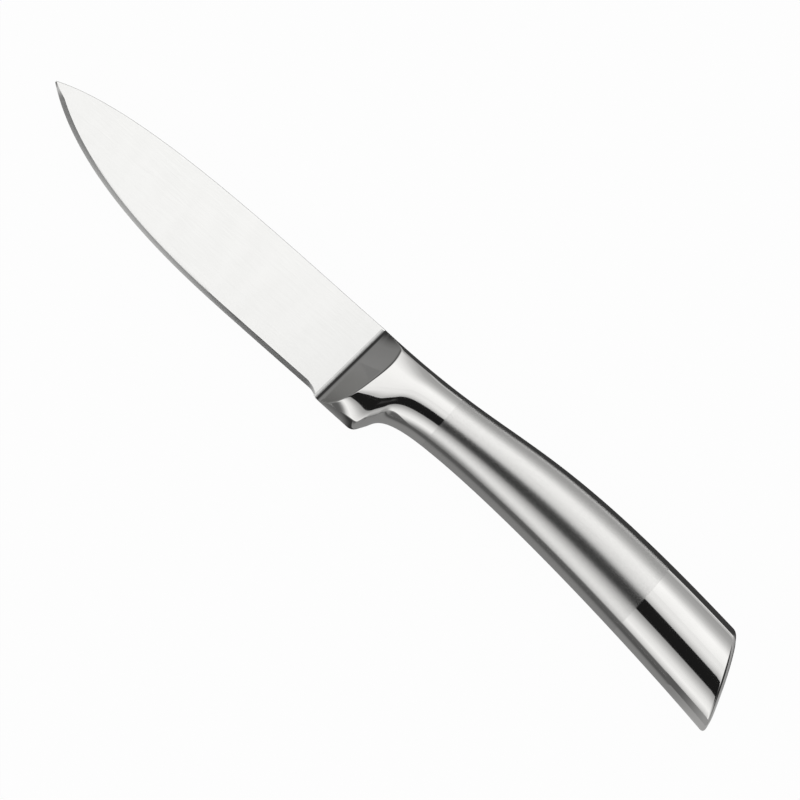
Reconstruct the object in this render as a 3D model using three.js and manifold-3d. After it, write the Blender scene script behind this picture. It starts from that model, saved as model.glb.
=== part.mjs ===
// A small all-steel kitchen knife with a hollow handle, lying on its right side.
//
// While it is modelled, x runs from the heel towards the butt, y from the cutting edge towards the
// spine and z out of the left face, and the middle plane of the knife is z = 0. At the end the whole
// knife is shifted, so that the origin lies under the middle of it, at its lowest point.
// All sizes are in millimetres.

import * as THREE from "three";
import { mergeVertices } from "three/addons/utils/BufferGeometryUtils.js";
import Module from "manifold-3d";

const wasm = await Module();
wasm.setup();

const point = (x, y) => new THREE.Vector2(x, y);

// Blade
const BLADE_LENGTH = 90; // heel to tip
const BLADE_HEIGHT = 21.1; // edge line to spine, at the bolster
const TIP_HEIGHT = 13.1; // tip above the edge line
const TIP_BLUNT = 0.4; // height of the blunt end of the tip
const SPINE_THICKNESS = 1.8; // at the bolster
const TIP_THICKNESS = 0.6; // of the spine, at the tip
const SHOULDER_THICKNESS = 0.5; // where the sharpened strip starts, at the bolster
const BEVEL_WIDTH = 1.1; // of the sharpened strip
const BEVEL_END_WIDTH = 0.3; // of the same strip where it runs out, at the tip and at the heel
const BEVEL_RUN_OUT = 4; // length over which the strip narrows
const EDGE_STRAIGHT = 22; // straight part of the edge, ahead of the heel
const EDGE_RISE = 0.2; // of that part, towards the heel
const CHOIL_LENGTH = 2.7; // curve from the edge down to the heel
const CHOIL_PULL = 1.1; // how far that curve keeps the direction of the edge
const EDGE_TIP_REACH = 19.5; // the edge leaves the tip towards a point this far behind it
const EDGE_TIP_FALL = 14.4; // and this far below it
const EDGE_STRAIGHT_PULL = 12.3; // how far the curved edge keeps the straight direction
const SPINE_TIP_REACH = 19.6; // the spine leaves the tip towards a point this far behind it
const SPINE_TIP_RISE = 9; // and this far above it
const SPINE_ROOT_REACH = 26; // it leaves the bolster towards a point this far ahead of it
const SPINE_ROOT_FALL = 0.5; // and this far below it

// Tang
const TANG_LENGTH = 46; // behind the heel
const TANG_HEIGHT = 7.5;
const TANG_BOTTOM = 10.2; // above the edge line
const TANG_THICKNESS = 1;
const TANG_ROOT = 2; // length that is one with the blade
const TANG_HOLE_RADIUS = 1.8; // of the keying holes
const TANG_HOLES_AT = [36, 41]; // behind the heel

// Bolster
const BOLSTER_LENGTH = 24.4; // heel to the joint with the grip
const BOLSTER_LEAN = 1.4; // the spine end of the blade joint lies this much further back
const HEEL_DROP = 0.65; // heel below the edge line
const HEEL_LENGTH = 10.7; // to the corner ahead of the finger notch
const HEEL_MIDDLE = 4.5; // where the heel has its full width, behind its front end
const HEEL_ROUNDING = 1.3; // distance from that corner at which it starts to round
const NOTCH_WALL_END = 12.4; // end of the straight wall of the finger notch, behind the heel
const NOTCH_WALL_TOP = 2.1; // the same end, above the edge line
const NOTCH_WALL_REACH = 1.1; // the notch leaves that wall towards a point this far behind it
const NOTCH_WALL_RISE = 1.6; // and this far above it
const NECK_BOTTOM = 7.3; // belly above the edge line, at the joint with the grip
const NECK_SLOPE = 0.069; // of the belly there
const NECK_NOTCH_PULL = 11.5; // how far the notch keeps that slope
const CHEEK_LEAD = 0.8; // foot of a cheek's ramp ahead of the joint with the blade
const CHEEK_FILLET = 2.8; // radius at that foot
const CHEEK_HEEL_SLOPE = 1.5; // rise of the ramp for each step back, at the heel
const CHEEK_SPINE_SLOPE = 0.6; // the same at the spine
const CHEEK_TOP = 8; // height up to which the ramp is cut, clear of the bolster
const GROOVE_END = 0.8; // of the weld groove behind the joint, which is level with the blade's side
const SPIGOT_LENGTH = 7; // of the part that plugs into the grip

// Grip
const HANDLE_LENGTH = 113.8; // heel to the lower corner of the butt
const BUTT_LEAN = 9.4; // upper corner of the butt ahead of the lower one
const BUTT_TOP = 23.5; // above the edge line
const BUTT_BOTTOM = 1.7; // above the edge line
const BACK_FRONT_REACH = 41.9; // the back leaves the bolster towards a point this far behind it
const BACK_FRONT_FALL = 0.6; // and this far below it
const BACK_BUTT_REACH = 64.6; // it leaves the butt towards a point this far ahead of it
const BACK_BUTT_RISE = 5.4; // and this far above it
const BELLY_NECK_PULL = 20.6; // how far the belly keeps the slope of the neck
const BELLY_BUTT_REACH = 29.2; // the belly leaves the butt towards a point this far ahead of it
const BELLY_BUTT_RISE = 3.9; // and this far above it
const WALL = 1; // sheet of the shells
const SEAM_WIDTH = 1.2; // of the welds that join the shells, the bolster and the cap
const POTTING_LENGTH = 22; // of the resin behind the spigot
const PALM_AT = 65; // highest part of the grip, behind the heel

// Butt cap
const CAP_THICKNESS = 2.2; // along the handle
const CAP_RIM = 1.1; // rounding of the rim
const CAP_DOME = 0.6; // rise of the middle
const CAP_DOME_REACH = 3.5; // from the rim to the flat middle of the dome
const CAP_LIP_LENGTH = 3.5; // of the lip that plugs into the grip
const CAP_LIP_WALL = 1.2;

// Clearances
const FIT = 0.3; // of what plugs into the shells
const SLOT_FIT = 0.1; // of the tang in its slots
const JOINT_FIT = 0.05; // of the blade at the bolster
const BEAD_FIT = 0.02; // of the beads in their grooves
const BEAD_MARGIN = 0.35; // of a bead to both ends of the joint

// Sections of the handle, each at its distance behind the heel. The edges of the spine and of the
// belly lie a crown inside their middle line and half a width to each side, and are rounded.
// The sides bow out between these edges and are widest at a share of the height.
const SECTIONS = [
  {
    at: 0,
    wideShare: 0.45,
    wideHalf: 6.5,
    spine: { crown: 1, half: 4.1, round: 1.5 },
    belly: { crown: 0.3, half: 1.2, round: 0.4 },
  },
  {
    at: HEEL_MIDDLE,
    wideShare: 0.435,
    wideHalf: 6.6,
    spine: { crown: 1, half: 4, round: 1.5 },
    belly: { crown: 1.1, half: 4.2, round: 0.6 },
  },
  {
    at: HEEL_LENGTH,
    wideShare: 0.47,
    wideHalf: 6.7,
    spine: { crown: 1, half: 3.6, round: 0.8 },
    belly: { crown: 1.6, half: 4.7, round: 0.8 },
  },
  {
    at: BOLSTER_LENGTH,
    wideShare: 0.557,
    wideHalf: 6.8,
    spine: { crown: 0.95, half: 4.4, round: 0.8 },
    belly: { crown: 1.75, half: 4.7, round: 1 },
  },
  {
    at: PALM_AT,
    wideShare: 0.57,
    wideHalf: 7.5,
    spine: { crown: 1.4, half: 4.6, round: 1 },
    belly: { crown: 2.1, half: 4.95, round: 2.4 },
  },
  {
    at: HANDLE_LENGTH - BUTT_LEAN / 2,
    wideShare: 0.56,
    wideHalf: 7.5,
    spine: { crown: 1.9, half: 4.9, round: 0.6 },
    belly: { crown: 2.6, half: 4.8, round: 1.5 },
  },
];
const LEAST_ROUND = 0.2; // edge rounding that an inner outline keeps

// Steps of the curved stretches
const OUTLINE_STEPS = 22; // of the blade's edge and of its spine
const CHOIL_STEPS = 4;
const HEEL_STEPS = [8, 5, 3, 10]; // of the heel's underside, its corner, the notch wall and the notch
const GRIP_STEPS = 30;
const PLUG_STEPS = 4; // of the spigot
const POTTING_STEPS = 8;
const CROWN_STEPS = 3; // of half a spine or belly
const ROUND_STEPS = 3; // of an edge rounding
const SIDE_STEPS = 5; // of a side above or below its widest line
const CHEEK_STEPS = 20; // of a cheek and of its bead, along the joint
const RAMP_STEPS = 6; // of a ramp behind its foot
const CHEEK_OVERLAP = 0.25; // share of the joint by which a cheek's cut goes past both ends
const FOOT_STEPS = 5; // of the round foot of a ramp
const RIM_STEPS = 4;
const DOME_STEPS = 3;

// Corners of the side view
const tip = point(-BLADE_LENGTH, TIP_HEIGHT);
const heel = point(0, -HEEL_DROP);
const root = point(BOLSTER_LEAN, BLADE_HEIGHT);
const neck = point(BOLSTER_LENGTH, NECK_BOTTOM);
const buttTop = point(HANDLE_LENGTH - BUTT_LEAN, BUTT_TOP);
const buttBottom = point(HANDLE_LENGTH, BUTT_BOTTOM);
const gripLength = buttTop.x - BOLSTER_LENGTH; // along the back
const seamHalf = SEAM_WIDTH / 2;
const capJoint = gripLength - CAP_THICKNESS; // distances behind the bolster, along the back
const shellFront = SEAM_WIDTH;
const shellRear = capJoint - SEAM_WIDTH;

// A cubic curve from a to b that leaves each end along its pull.
function curve(a, pullA, pullB, b) {
  return new THREE.CubicBezierCurve(a, a.clone().add(pullA), b.clone().add(pullB), b);
}

// The back runs from the blade to the butt in one sweep. The underside has the flat heel, its
// rounded corner, the wall of the finger notch, the notch, and behind the neck the belly.
const backFrontPull = point(BACK_FRONT_REACH, -BACK_FRONT_FALL);
const backButtPull = point(-BACK_BUTT_REACH, BACK_BUTT_RISE);
const back = curve(root, backFrontPull, backButtPull, buttTop);
const heelCorner = point(HEEL_LENGTH, -HEEL_DROP);
const cornerStart = heelCorner.clone().setX(HEEL_LENGTH - HEEL_ROUNDING);
const notchWall = point(NOTCH_WALL_END, NOTCH_WALL_TOP);
const notchWallPull = point(NOTCH_WALL_REACH, NOTCH_WALL_RISE);
const cornerEnd = notchWall.clone().sub(heelCorner).setLength(HEEL_ROUNDING).add(heelCorner);
const neckPull = (reach) => point(reach, reach * NECK_SLOPE);
const underside = new THREE.CurvePath();
underside.add(new THREE.LineCurve(heel, cornerStart));
underside.add(new THREE.QuadraticBezierCurve(cornerStart, heelCorner, cornerEnd));
underside.add(new THREE.LineCurve(cornerEnd, notchWall));
underside.add(curve(notchWall, notchWallPull, neckPull(-NECK_NOTCH_PULL), neck));
const bellyButtPull = point(-BELLY_BUTT_REACH, BELLY_BUTT_RISE);
const belly = curve(neck, neckPull(BELLY_NECK_PULL), bellyButtPull, buttBottom);

// The point of the back at a given x, found by halving.
function backAt(x) {
  let low = 0;
  let high = 1;
  for (let i = 0; i < 40; i++) {
    const middle = (low + high) / 2;
    if (back.getPoint(middle).x < x) low = middle;
    else high = middle;
  }
  return back.getPoint(low);
}

// One value of the handle's sections at x, on a smooth curve through the values given above.
function sectionValue(read, x) {
  const count = SECTIONS.length;
  let i = 0;
  while (i < count - 2 && x > SECTIONS[i + 1].at) i++;
  const slope = (k) => {
    const before = SECTIONS[Math.max(k - 1, 0)];
    const after = SECTIONS[Math.min(k + 1, count - 1)];
    return (read(after) - read(before)) / (after.at - before.at);
  };
  const a = SECTIONS[i];
  const b = SECTIONS[i + 1];
  const span = b.at - a.at;
  const t = THREE.MathUtils.clamp((x - a.at) / span, 0, 1);
  const rise = t * t * (3 - 2 * t);
  const leave = t * (1 - t) ** 2 * span * slope(i);
  const arrive = t * t * (t - 1) * span * slope(i + 1);
  return read(a) + (read(b) - read(a)) * rise + leave + arrive;
}

// A station is a plane across the handle, square to the side view, from its underside to its back.
function station(bottom, top) {
  const up = top.clone().sub(bottom);
  const x = (bottom.x + top.x) / 2;
  return {
    bottom,
    height: up.length(),
    up: up.normalize(),
    wideShare: sectionValue((s) => s.wideShare, x),
    wideHalf: sectionValue((s) => s.wideHalf, x),
    spine: edgeValues((s) => s.spine, x),
    belly: edgeValues((s) => s.belly, x),
  };
}

function edgeValues(read, x) {
  return {
    crown: sectionValue((s) => read(s).crown, x),
    half: sectionValue((s) => read(s).half, x),
    round: sectionValue((s) => read(s).round, x),
  };
}

// Station of the bolster, at a share of its length.
function bolsterStation(share) {
  return station(underside.getPointAt(share), backAt(root.x + share * (neck.x - root.x)));
}

// Station of the grip, at a distance behind the bolster.
function gripStation(distance) {
  return station(belly.getPointAt(distance / gripLength), backAt(BOLSTER_LENGTH + distance));
}

// Where two circles cross, at the crossing that is nearer to a given point.
function crossing(centreA, radiusA, centreB, radiusB, near) {
  const line = centreB.clone().sub(centreA);
  const gap = line.length();
  const along = (radiusA ** 2 - radiusB ** 2 + gap ** 2) / (2 * gap);
  const aside = Math.sqrt(radiusA ** 2 - along ** 2);
  line.divideScalar(gap);
  const across = point(-line.y, line.x);
  const foot = centreA.clone().addScaledVector(line, along);
  if (across.dot(near.clone().sub(foot)) < 0) across.negate();
  return foot.addScaledVector(across, aside);
}

// Left half of a section, from the spine to the belly, on six arcs that run into one another.
// Depth moves the outline inwards, and the half starts and ends at a distance from the middle plane.
function halfSection(place, depth = 0, fromMiddle = 0) {
  const { height, wideHalf } = place;
  const wide = place.wideShare * height;
  const [spine, lower] = [place.spine, place.belly].map(({ crown, half, round }, i) => {
    const middle = i === 0 ? height : 0;
    const inwards = i === 0 ? -1 : 1;
    const edge = point(middle + inwards * crown, half);
    const crownRadius = (half ** 2 + crown ** 2) / (2 * crown);
    const bow = wideHalf - half;
    const sideRadius = ((edge.x - wide) ** 2 + bow ** 2) / (2 * bow);
    const rim = { centre: point(middle + inwards * crownRadius, 0), radius: crownRadius - depth };
    const side = { centre: point(wide, wideHalf - sideRadius), radius: sideRadius - depth };
    const radius = Math.max(round - depth, LEAST_ROUND);
    const centre = crossing(rim.centre, rim.radius - radius, side.centre, side.radius - radius, edge);
    return { rim, side, rounding: { centre, radius } };
  });
  const direction = (from, to) => to.centre.clone().sub(from.centre).angle();
  const turns = [
    Math.asin(fromMiddle / spine.rim.radius),
    direction(spine.rim, spine.rounding),
    direction(spine.side, spine.rounding),
    Math.PI / 2,
    direction(lower.side, lower.rounding),
    direction(lower.rim, lower.rounding),
    Math.PI - Math.asin(fromMiddle / lower.rim.radius),
  ];
  const arcs = [spine.rim, spine.rounding, spine.side, lower.side, lower.rounding, lower.rim];
  const counts = [CROWN_STEPS, ROUND_STEPS, SIDE_STEPS, SIDE_STEPS, ROUND_STEPS, CROWN_STEPS];
  const outline = [onArc(spine.rim, turns[0])];
  arcs.forEach((arc, i) => {
    steps(turns[i], turns[i + 1], counts[i])
      .slice(1)
      .forEach((turn) => outline.push(onArc(arc, turn)));
  });
  outline[0].y = fromMiddle;
  outline.at(-1).y = fromMiddle;
  return outline.map((p) => inPlace(place, p.x, p.y));
}

function onArc({ centre, radius }, angle) {
  return point(Math.cos(angle), Math.sin(angle)).multiplyScalar(radius).add(centre);
}

// The point of a station at a height above its underside and a distance from the middle plane.
function inPlace(place, height, z) {
  const p = place.bottom.clone().addScaledVector(place.up, height);
  return new THREE.Vector3(p.x, p.y, z);
}

const acrossMiddle = (p) => new THREE.Vector3(p.x, p.y, -p.z);

// The whole outline of a section, anticlockwise as seen from the butt.
function fullSection(place, depth = 0) {
  const left = halfSection(place, depth);
  const right = left.slice(1, -1).reverse().map(acrossMiddle);
  return [...left, ...right];
}

// A geometry of points and triangles.
function meshOf(points, triangles) {
  const geometry = new THREE.BufferGeometry();
  geometry.setFromPoints(points);
  geometry.setIndex(triangles.flat());
  return geometry;
}

// A solid through rings of points, with flat ends, or running back into its first ring.
function loft(rings, endless = false) {
  const count = rings[0].length;
  const triangles = [];
  const spans = endless ? rings.length : rings.length - 1;
  for (let i = 0; i < spans; i++) {
    const here = i * count;
    const next = ((i + 1) % rings.length) * count;
    for (let j = 0; j < count; j++) {
      const k = (j + 1) % count;
      triangles.push([here + j, here + k, next + k], [here + j, next + k, next + j]);
    }
  }
  if (!endless) {
    const last = (rings.length - 1) * count;
    flatFace(rings[0]).forEach(([a, b, c]) => triangles.push([a, c, b]));
    flatFace(rings.at(-1)).forEach((face) => triangles.push(face.map((i) => last + i)));
  }
  return meshOf(rings.flat(), triangles);
}

// Triangles that fill a flat ring, in the ring's own direction.
function flatFace(ring) {
  const normal = new THREE.Vector3();
  ring.forEach((p, i) => normal.add(p.clone().cross(ring[(i + 1) % ring.length])));
  const right = new THREE.Vector3(0, 0, 1).cross(normal).normalize();
  const up = normal.clone().cross(right).normalize();
  return THREE.ShapeUtils.triangulateShape(ring.map((p) => point(p.dot(right), p.dot(up))), []);
}

// Equal steps from one number to another.
function steps(from, to, count) {
  return Array.from({ length: count + 1 }, (_, i) => THREE.MathUtils.lerp(from, to, i / count));
}

// A geometry with nothing but its points, shared between its triangles.
function bare(geometry) {
  const copy = geometry.clone();
  copy.deleteAttribute("normal");
  copy.deleteAttribute("uv");
  return mergeVertices(copy);
}

// The mirror image of a geometry on the other side of the middle plane.
function mirrored(geometry) {
  const copy = bare(geometry).scale(1, 1, -1);
  const index = copy.index.array;
  for (let i = 0; i < index.length; i += 3) {
    [index[i], index[i + 1]] = [index[i + 1], index[i]];
  }
  return copy;
}

// A geometry as a solid that can be joined and cut, and back.
function solid(geometry) {
  const copy = bare(geometry);
  const vertProperties = new Float32Array(copy.attributes.position.array);
  const triVerts = new Uint32Array(copy.index.array);
  return new wasm.Manifold(new wasm.Mesh({ numProp: 3, vertProperties, triVerts }));
}

function geometryOf(body) {
  const mesh = body.getMesh();
  const geometry = new THREE.BufferGeometry();
  geometry.setAttribute("position", new THREE.BufferAttribute(mesh.vertProperties, mesh.numProp));
  geometry.setIndex(new THREE.BufferAttribute(mesh.triVerts, 1));
  return geometry;
}

// Half the blade's thickness: each side is one flat plane, which thins to the edge and to the tip.
const edgeTaper = (SPINE_THICKNESS - SHOULDER_THICKNESS) / 2 / (BLADE_HEIGHT - BEVEL_WIDTH);
const tipHalf = SHOULDER_THICKNESS / 2 + edgeTaper * (TIP_HEIGHT - BEVEL_WIDTH);
const tipTaper = (tipHalf - TIP_THICKNESS / 2) / BLADE_LENGTH;
function bladeHalf(p) {
  return SHOULDER_THICKNESS / 2 + edgeTaper * (p.y - BEVEL_WIDTH) + tipTaper * p.x;
}

// The edge from the tip to the heel, and beside it the line where the sharpened strip starts.
function bladeEdge() {
  const start = tip.clone().setY(TIP_HEIGHT - TIP_BLUNT / 2);
  const straight = point(-EDGE_STRAIGHT, 0);
  const choil = point(-CHOIL_LENGTH, EDGE_RISE);
  const end = heel.clone().setX(-JOINT_FIT);
  const tipPull = point(EDGE_TIP_REACH, -EDGE_TIP_FALL);
  const bent = curve(start, tipPull, point(-EDGE_STRAIGHT_PULL, 0), straight);
  const bend = choil.clone().setX(choil.x + CHOIL_PULL);
  const runOut = new THREE.QuadraticBezierCurve(choil, bend, end);
  const edge = [...bent.getPoints(OUTLINE_STEPS), ...runOut.getPoints(CHOIL_STEPS)];
  const bevel = edge.map((p, i) => {
    const before = edge[Math.max(i - 1, 0)];
    const after = edge[Math.min(i + 1, edge.length - 1)];
    const inwards = point(before.y - after.y, after.x - before.x).normalize();
    const toEnd = Math.min(p.distanceTo(start), p.distanceTo(end));
    const full = Math.min(toEnd / BEVEL_RUN_OUT, 1);
    return inwards.multiplyScalar(THREE.MathUtils.lerp(BEVEL_END_WIDTH, BEVEL_WIDTH, full)).add(p);
  });
  bevel.at(-1).set(end.x, end.y + BEVEL_END_WIDTH);
  return { edge, bevel };
}

// The blade is a wedge with flat sides, a flat spine and a sharpened strip on each side of its edge.
function bladeWedge() {
  const { edge, bevel } = bladeEdge();
  const spineRoot = root.clone().setX(root.x - JOINT_FIT);
  const spineTip = tip.clone().setY(TIP_HEIGHT + TIP_BLUNT / 2);
  const rootPull = point(-SPINE_ROOT_REACH, -SPINE_ROOT_FALL);
  const tipPull = point(SPINE_TIP_REACH, SPINE_TIP_RISE);
  const spine = curve(spineRoot, rootPull, tipPull, spineTip).getPoints(OUTLINE_STEPS);
  const side = [...bevel, ...spine];
  const left = side.map((p) => new THREE.Vector3(p.x, p.y, bladeHalf(p)));
  const right = left.map(acrossMiddle);
  const sharp = edge.map((p) => new THREE.Vector3(p.x, p.y, 0));
  const onRight = (i) => left.length + i;
  const onEdge = (i) => 2 * left.length + i;
  const triangles = [];
  THREE.ShapeUtils.triangulateShape(side, []).forEach(([a, b, c]) => {
    triangles.push([a, b, c], [onRight(a), onRight(c), onRight(b)]);
  });
  const heelEnd = edge.length - 1;
  for (let i = 0; i < heelEnd; i++) {
    const next = i + 1;
    triangles.push([onEdge(i), onEdge(next), next], [onEdge(i), next, i]);
    triangles.push([onEdge(i), onRight(next), onEdge(next)], [onEdge(i), onRight(i), onRight(next)]);
  }
  const spineRootAt = bevel.length;
  const spineTipAt = side.length - 1;
  for (let i = spineRootAt; i < spineTipAt; i++) {
    triangles.push([i, onRight(i), onRight(i + 1)], [i, onRight(i + 1), i + 1]);
  }
  const rearFace = [onEdge(heelEnd), onRight(heelEnd), onRight(spineRootAt), spineRootAt, heelEnd];
  const tipFace = [onEdge(0), 0, spineTipAt, onRight(spineTipAt), onRight(0)];
  [rearFace, tipFace].forEach((face) => {
    for (let i = 1; i < face.length - 1; i++) {
      triangles.push([face[0], face[i], face[i + 1]]);
    }
  });
  return meshOf([...left, ...right, ...sharp], triangles);
}

// The tang, or with a fit the slot that it needs in the resin, where the holes shrink.
function tangBar(fit = 0) {
  const low = TANG_BOTTOM - fit;
  const high = TANG_BOTTOM + TANG_HEIGHT + fit;
  const end = TANG_LENGTH + fit;
  const bar = new THREE.Shape();
  bar.moveTo(-TANG_ROOT, low).lineTo(end, low).lineTo(end, high).lineTo(-TANG_ROOT, high);
  bar.holes = TANG_HOLES_AT.map((x) => {
    const middle = TANG_BOTTOM + TANG_HEIGHT / 2;
    return new THREE.Path().absarc(x, middle, TANG_HOLE_RADIUS - fit, 0, 2 * Math.PI);
  });
  const thickness = TANG_THICKNESS + 2 * fit;
  const extrusion = { depth: thickness, bevelEnabled: false, curveSegments: OUTLINE_STEPS / 2 };
  return new THREE.ExtrudeGeometry(bar, extrusion).translate(0, 0, -thickness / 2);
}

function blade() {
  return geometryOf(solid(bladeWedge()).add(solid(tangBar())));
}

// Frame of the left cheek. It starts at the heel and its third axis runs up the joint line, on the
// blade's side. Its first axis points out of that side, and its second one to the butt.
function cheekFrame() {
  const at = (p) => new THREE.Vector3(p.x, p.y, bladeHalf(p));
  const start = at(heel);
  const along = at(root).sub(start);
  const length = along.length();
  along.normalize();
  const backwards = new THREE.Vector3(along.y, -along.x, 0).normalize();
  const outwards = backwards.clone().cross(along);
  const matrix = new THREE.Matrix4().makeBasis(outwards, backwards, along).setPosition(start);
  return { matrix, length };
}

// Profile of the left cheek at a share of the joint, from the heel to the spine: the height of its ramp
// over the blade's side at a distance behind the foot, its slope, and the end of its round foot.
function cheekProfile(share) {
  const slope = THREE.MathUtils.lerp(CHEEK_HEEL_SLOPE, CHEEK_SPINE_SLOPE, share);
  const footEnd = CHEEK_FILLET * Math.sin(Math.atan(slope));
  const height = (behind) => {
    const foot = Math.min(behind, footEnd);
    return CHEEK_FILLET - Math.sqrt(CHEEK_FILLET ** 2 - foot ** 2) + (behind - foot) * slope;
  };
  return { slope, footEnd, height };
}

// What is cut away in front of the left cheek: the ramp, which is less steep towards the spine, and at
// its foot the groove for the bead.
function cheekCut() {
  const { matrix, length } = cheekFrame();
  const rings = steps(-CHEEK_OVERLAP, 1 + CHEEK_OVERLAP, CHEEK_STEPS).map((share) => {
    const { slope, footEnd, height } = cheekProfile(share);
    const start = CHEEK_LEAD + GROOVE_END;
    const bend = Math.max(footEnd, start + GROOVE_END);
    const far = bend + (CHEEK_TOP - height(bend)) / slope;
    const behinds = [...steps(far, bend, RAMP_STEPS), ...steps(bend, start, FOOT_STEPS).slice(1)];
    const ramp = behinds.map((behind) => [height(behind), behind - CHEEK_LEAD]);
    const profile = [[0, -CHEEK_LEAD], [CHEEK_TOP, -CHEEK_LEAD], ...ramp, [0, GROOVE_END]];
    return profile.map(([rise, behind]) => new THREE.Vector3(rise, behind, share * length));
  });
  return loft(rings).applyMatrix4(matrix);
}

// Weld bead in the groove between the blade and the left cheek, dressed to the form of the ramp.
// It stops short of both ends of the joint.
function bladeBead() {
  const { matrix, length } = cheekFrame();
  const margin = BEAD_MARGIN / length;
  const toe = Math.sqrt(BEAD_FIT * (2 * CHEEK_FILLET - BEAD_FIT)); // where the ramp is as high as the fit
  const rings = steps(margin, 1 - margin, CHEEK_STEPS).map((share) => {
    const { height } = cheekProfile(share);
    const end = CHEEK_LEAD + GROOVE_END - BEAD_FIT;
    const top = steps(toe, end, FOOT_STEPS).map((behind) => [height(behind), behind - CHEEK_LEAD]);
    const profile = [...top, [BEAD_FIT, end - CHEEK_LEAD]];
    return profile.map(([rise, behind]) => new THREE.Vector3(rise, behind, share * length));
  });
  return loft(rings).applyMatrix4(matrix);
}

// Shares of the bolster's length at which its underside needs a station.
function bolsterShares() {
  const ends = underside.getCurveLengths();
  const total = ends.at(-1);
  const shares = [0];
  ends.forEach((end, i) => {
    const start = i === 0 ? 0 : ends[i - 1];
    shares.push(...steps(start / total, end / total, HEEL_STEPS[i]).slice(1));
  });
  return shares;
}

// The bolster: a full loft with the cheeks cut off it, a spigot that plugs into the grip and a slot
// for the tang.
function bolster() {
  const shares = bolsterShares();
  const body = solid(loft(shares.map((share) => fullSection(bolsterStation(share)))));
  const inside = WALL + FIT;
  const buried = bolsterStation(shares.at(-2));
  const plug = [buried, ...steps(0, SPIGOT_LENGTH, PLUG_STEPS).map(gripStation)];
  const spigot = solid(loft(plug.map((place) => fullSection(place, inside))));
  const reach = BOLSTER_LENGTH + SPIGOT_LENGTH;
  const slot = new THREE.BoxGeometry(2 * reach, TANG_HEIGHT + 2 * SLOT_FIT, TANG_THICKNESS + 2 * SLOT_FIT);
  slot.translate(reach / 2, TANG_BOTTOM + TANG_HEIGHT / 2, 0);
  const cut = cheekCut();
  const cheeks = solid(cut).add(solid(mirrored(cut)));
  return geometryOf(body.add(spigot).subtract(cheeks).subtract(solid(slot)));
}

const gripRun = steps(shellFront, shellRear, GRIP_STEPS).map(gripStation);

// Left half of the hollow grip, pressed from sheet.
function handleShell() {
  return loft(
    gripRun.map((place) => {
      const outer = halfSection(place, 0, seamHalf);
      const inner = halfSection(place, WALL, seamHalf).reverse();
      return [...outer, ...inner];
    }),
  );
}

// Weld between the two shells, through the whole wall, along the spine or along the belly.
function seamWeld(alongSpine) {
  return loft(
    gripRun.map((place) => {
      const [outer, inner] = [0, WALL].map((depth) => {
        const half = halfSection(place, depth, seamHalf);
        const left = alongSpine ? half[0] : half.at(-1);
        const middle = inPlace(place, alongSpine ? place.height - depth : depth, 0);
        const strip = [acrossMiddle(left), middle, left];
        return alongSpine ? strip : strip.reverse();
      });
      return [...outer, ...inner.reverse()];
    }),
  );
}

// Weld round the whole section, through the whole wall, from one distance to another.
function ringWeld(from, to) {
  const [front, rear] = [from, to].map(gripStation);
  const rings = [fullSection(front), fullSection(rear), fullSection(rear, WALL), fullSection(front, WALL)];
  return loft(rings, true);
}

// Cap with a lip that plugs into the shells, a rounded rim and a domed middle.
function buttCap() {
  const inside = WALL + FIT;
  const lipInside = inside + CAP_LIP_WALL;
  const lipEnd = capJoint - CAP_LIP_LENGTH;
  const middle = CAP_RIM + CAP_DOME_REACH;
  const rings = [
    [capJoint, middle],
    [capJoint, lipInside],
    [lipEnd, lipInside],
    [lipEnd, inside],
    [capJoint, inside],
    [capJoint, 0],
  ].map(([distance, depth]) => fullSection(gripStation(distance), depth));
  steps(0, Math.PI / 2, RIM_STEPS).forEach((turn) => {
    const distance = gripLength - CAP_RIM * (1 - Math.sin(turn));
    rings.push(fullSection(gripStation(distance), CAP_RIM * (1 - Math.cos(turn))));
  });
  const end = gripStation(gripLength);
  const outwards = new THREE.Vector3(end.up.y, -end.up.x, 0);
  steps(0, 1, DOME_STEPS)
    .slice(1)
    .forEach((share) => {
      const rise = CAP_DOME * (1 - (1 - share) ** 2);
      const ring = fullSection(end, CAP_RIM + CAP_DOME_REACH * share);
      rings.push(ring.map((p) => p.addScaledVector(outwards, rise)));
    });
  return loft(rings);
}

// Resin that fills the front of the hollow grip, round the tang and through its holes.
function tangPotting() {
  const from = SPIGOT_LENGTH + FIT;
  const places = steps(from, from + POTTING_LENGTH, POTTING_STEPS).map(gripStation);
  const plug = solid(loft(places.map((place) => fullSection(place, WALL + FIT))));
  return geometryOf(plug.subtract(solid(tangBar(SLOT_FIT))));
}

// Finishes
const steel = (color, roughness) => new THREE.MeshStandardMaterial({ color, roughness, metalness: 1 });
const groundSteel = steel(0xdcdcda, 0.28);
const polishedSteel = steel(0xcfcfcd, 0.08);
const satinSteel = steel(0xc6c6c4, 0.32);
const weldSteel = steel(0xb4b4b2, 0.3);
const resin = new THREE.MeshStandardMaterial({ color: 0x8a6f43, roughness: 0.6, metalness: 0 });

const knife = new THREE.Group();
function addPart(name, geometry, material) {
  const mesh = new THREE.Mesh(geometry, material);
  mesh.name = name;
  knife.add(mesh);
}

addPart("blade", blade(), groundSteel);
addPart("bolster", bolster(), polishedSteel);
const bead = bladeBead();
addPart("blade_weld_left", bead, weldSteel);
addPart("blade_weld_right", mirrored(bead), weldSteel);
const shell = handleShell();
addPart("handle_shell_left", shell, satinSteel);
addPart("handle_shell_right", mirrored(shell), satinSteel);
addPart("spine_seam_weld", seamWeld(true), satinSteel);
addPart("belly_seam_weld", seamWeld(false), satinSteel);
addPart("bolster_ring_weld", ringWeld(0, shellFront), weldSteel);
addPart("butt_ring_weld", ringWeld(shellRear, capJoint), weldSteel);
addPart("butt_cap", buttCap(), polishedSteel);
addPart("tang_potting", tangPotting(), resin);

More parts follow.
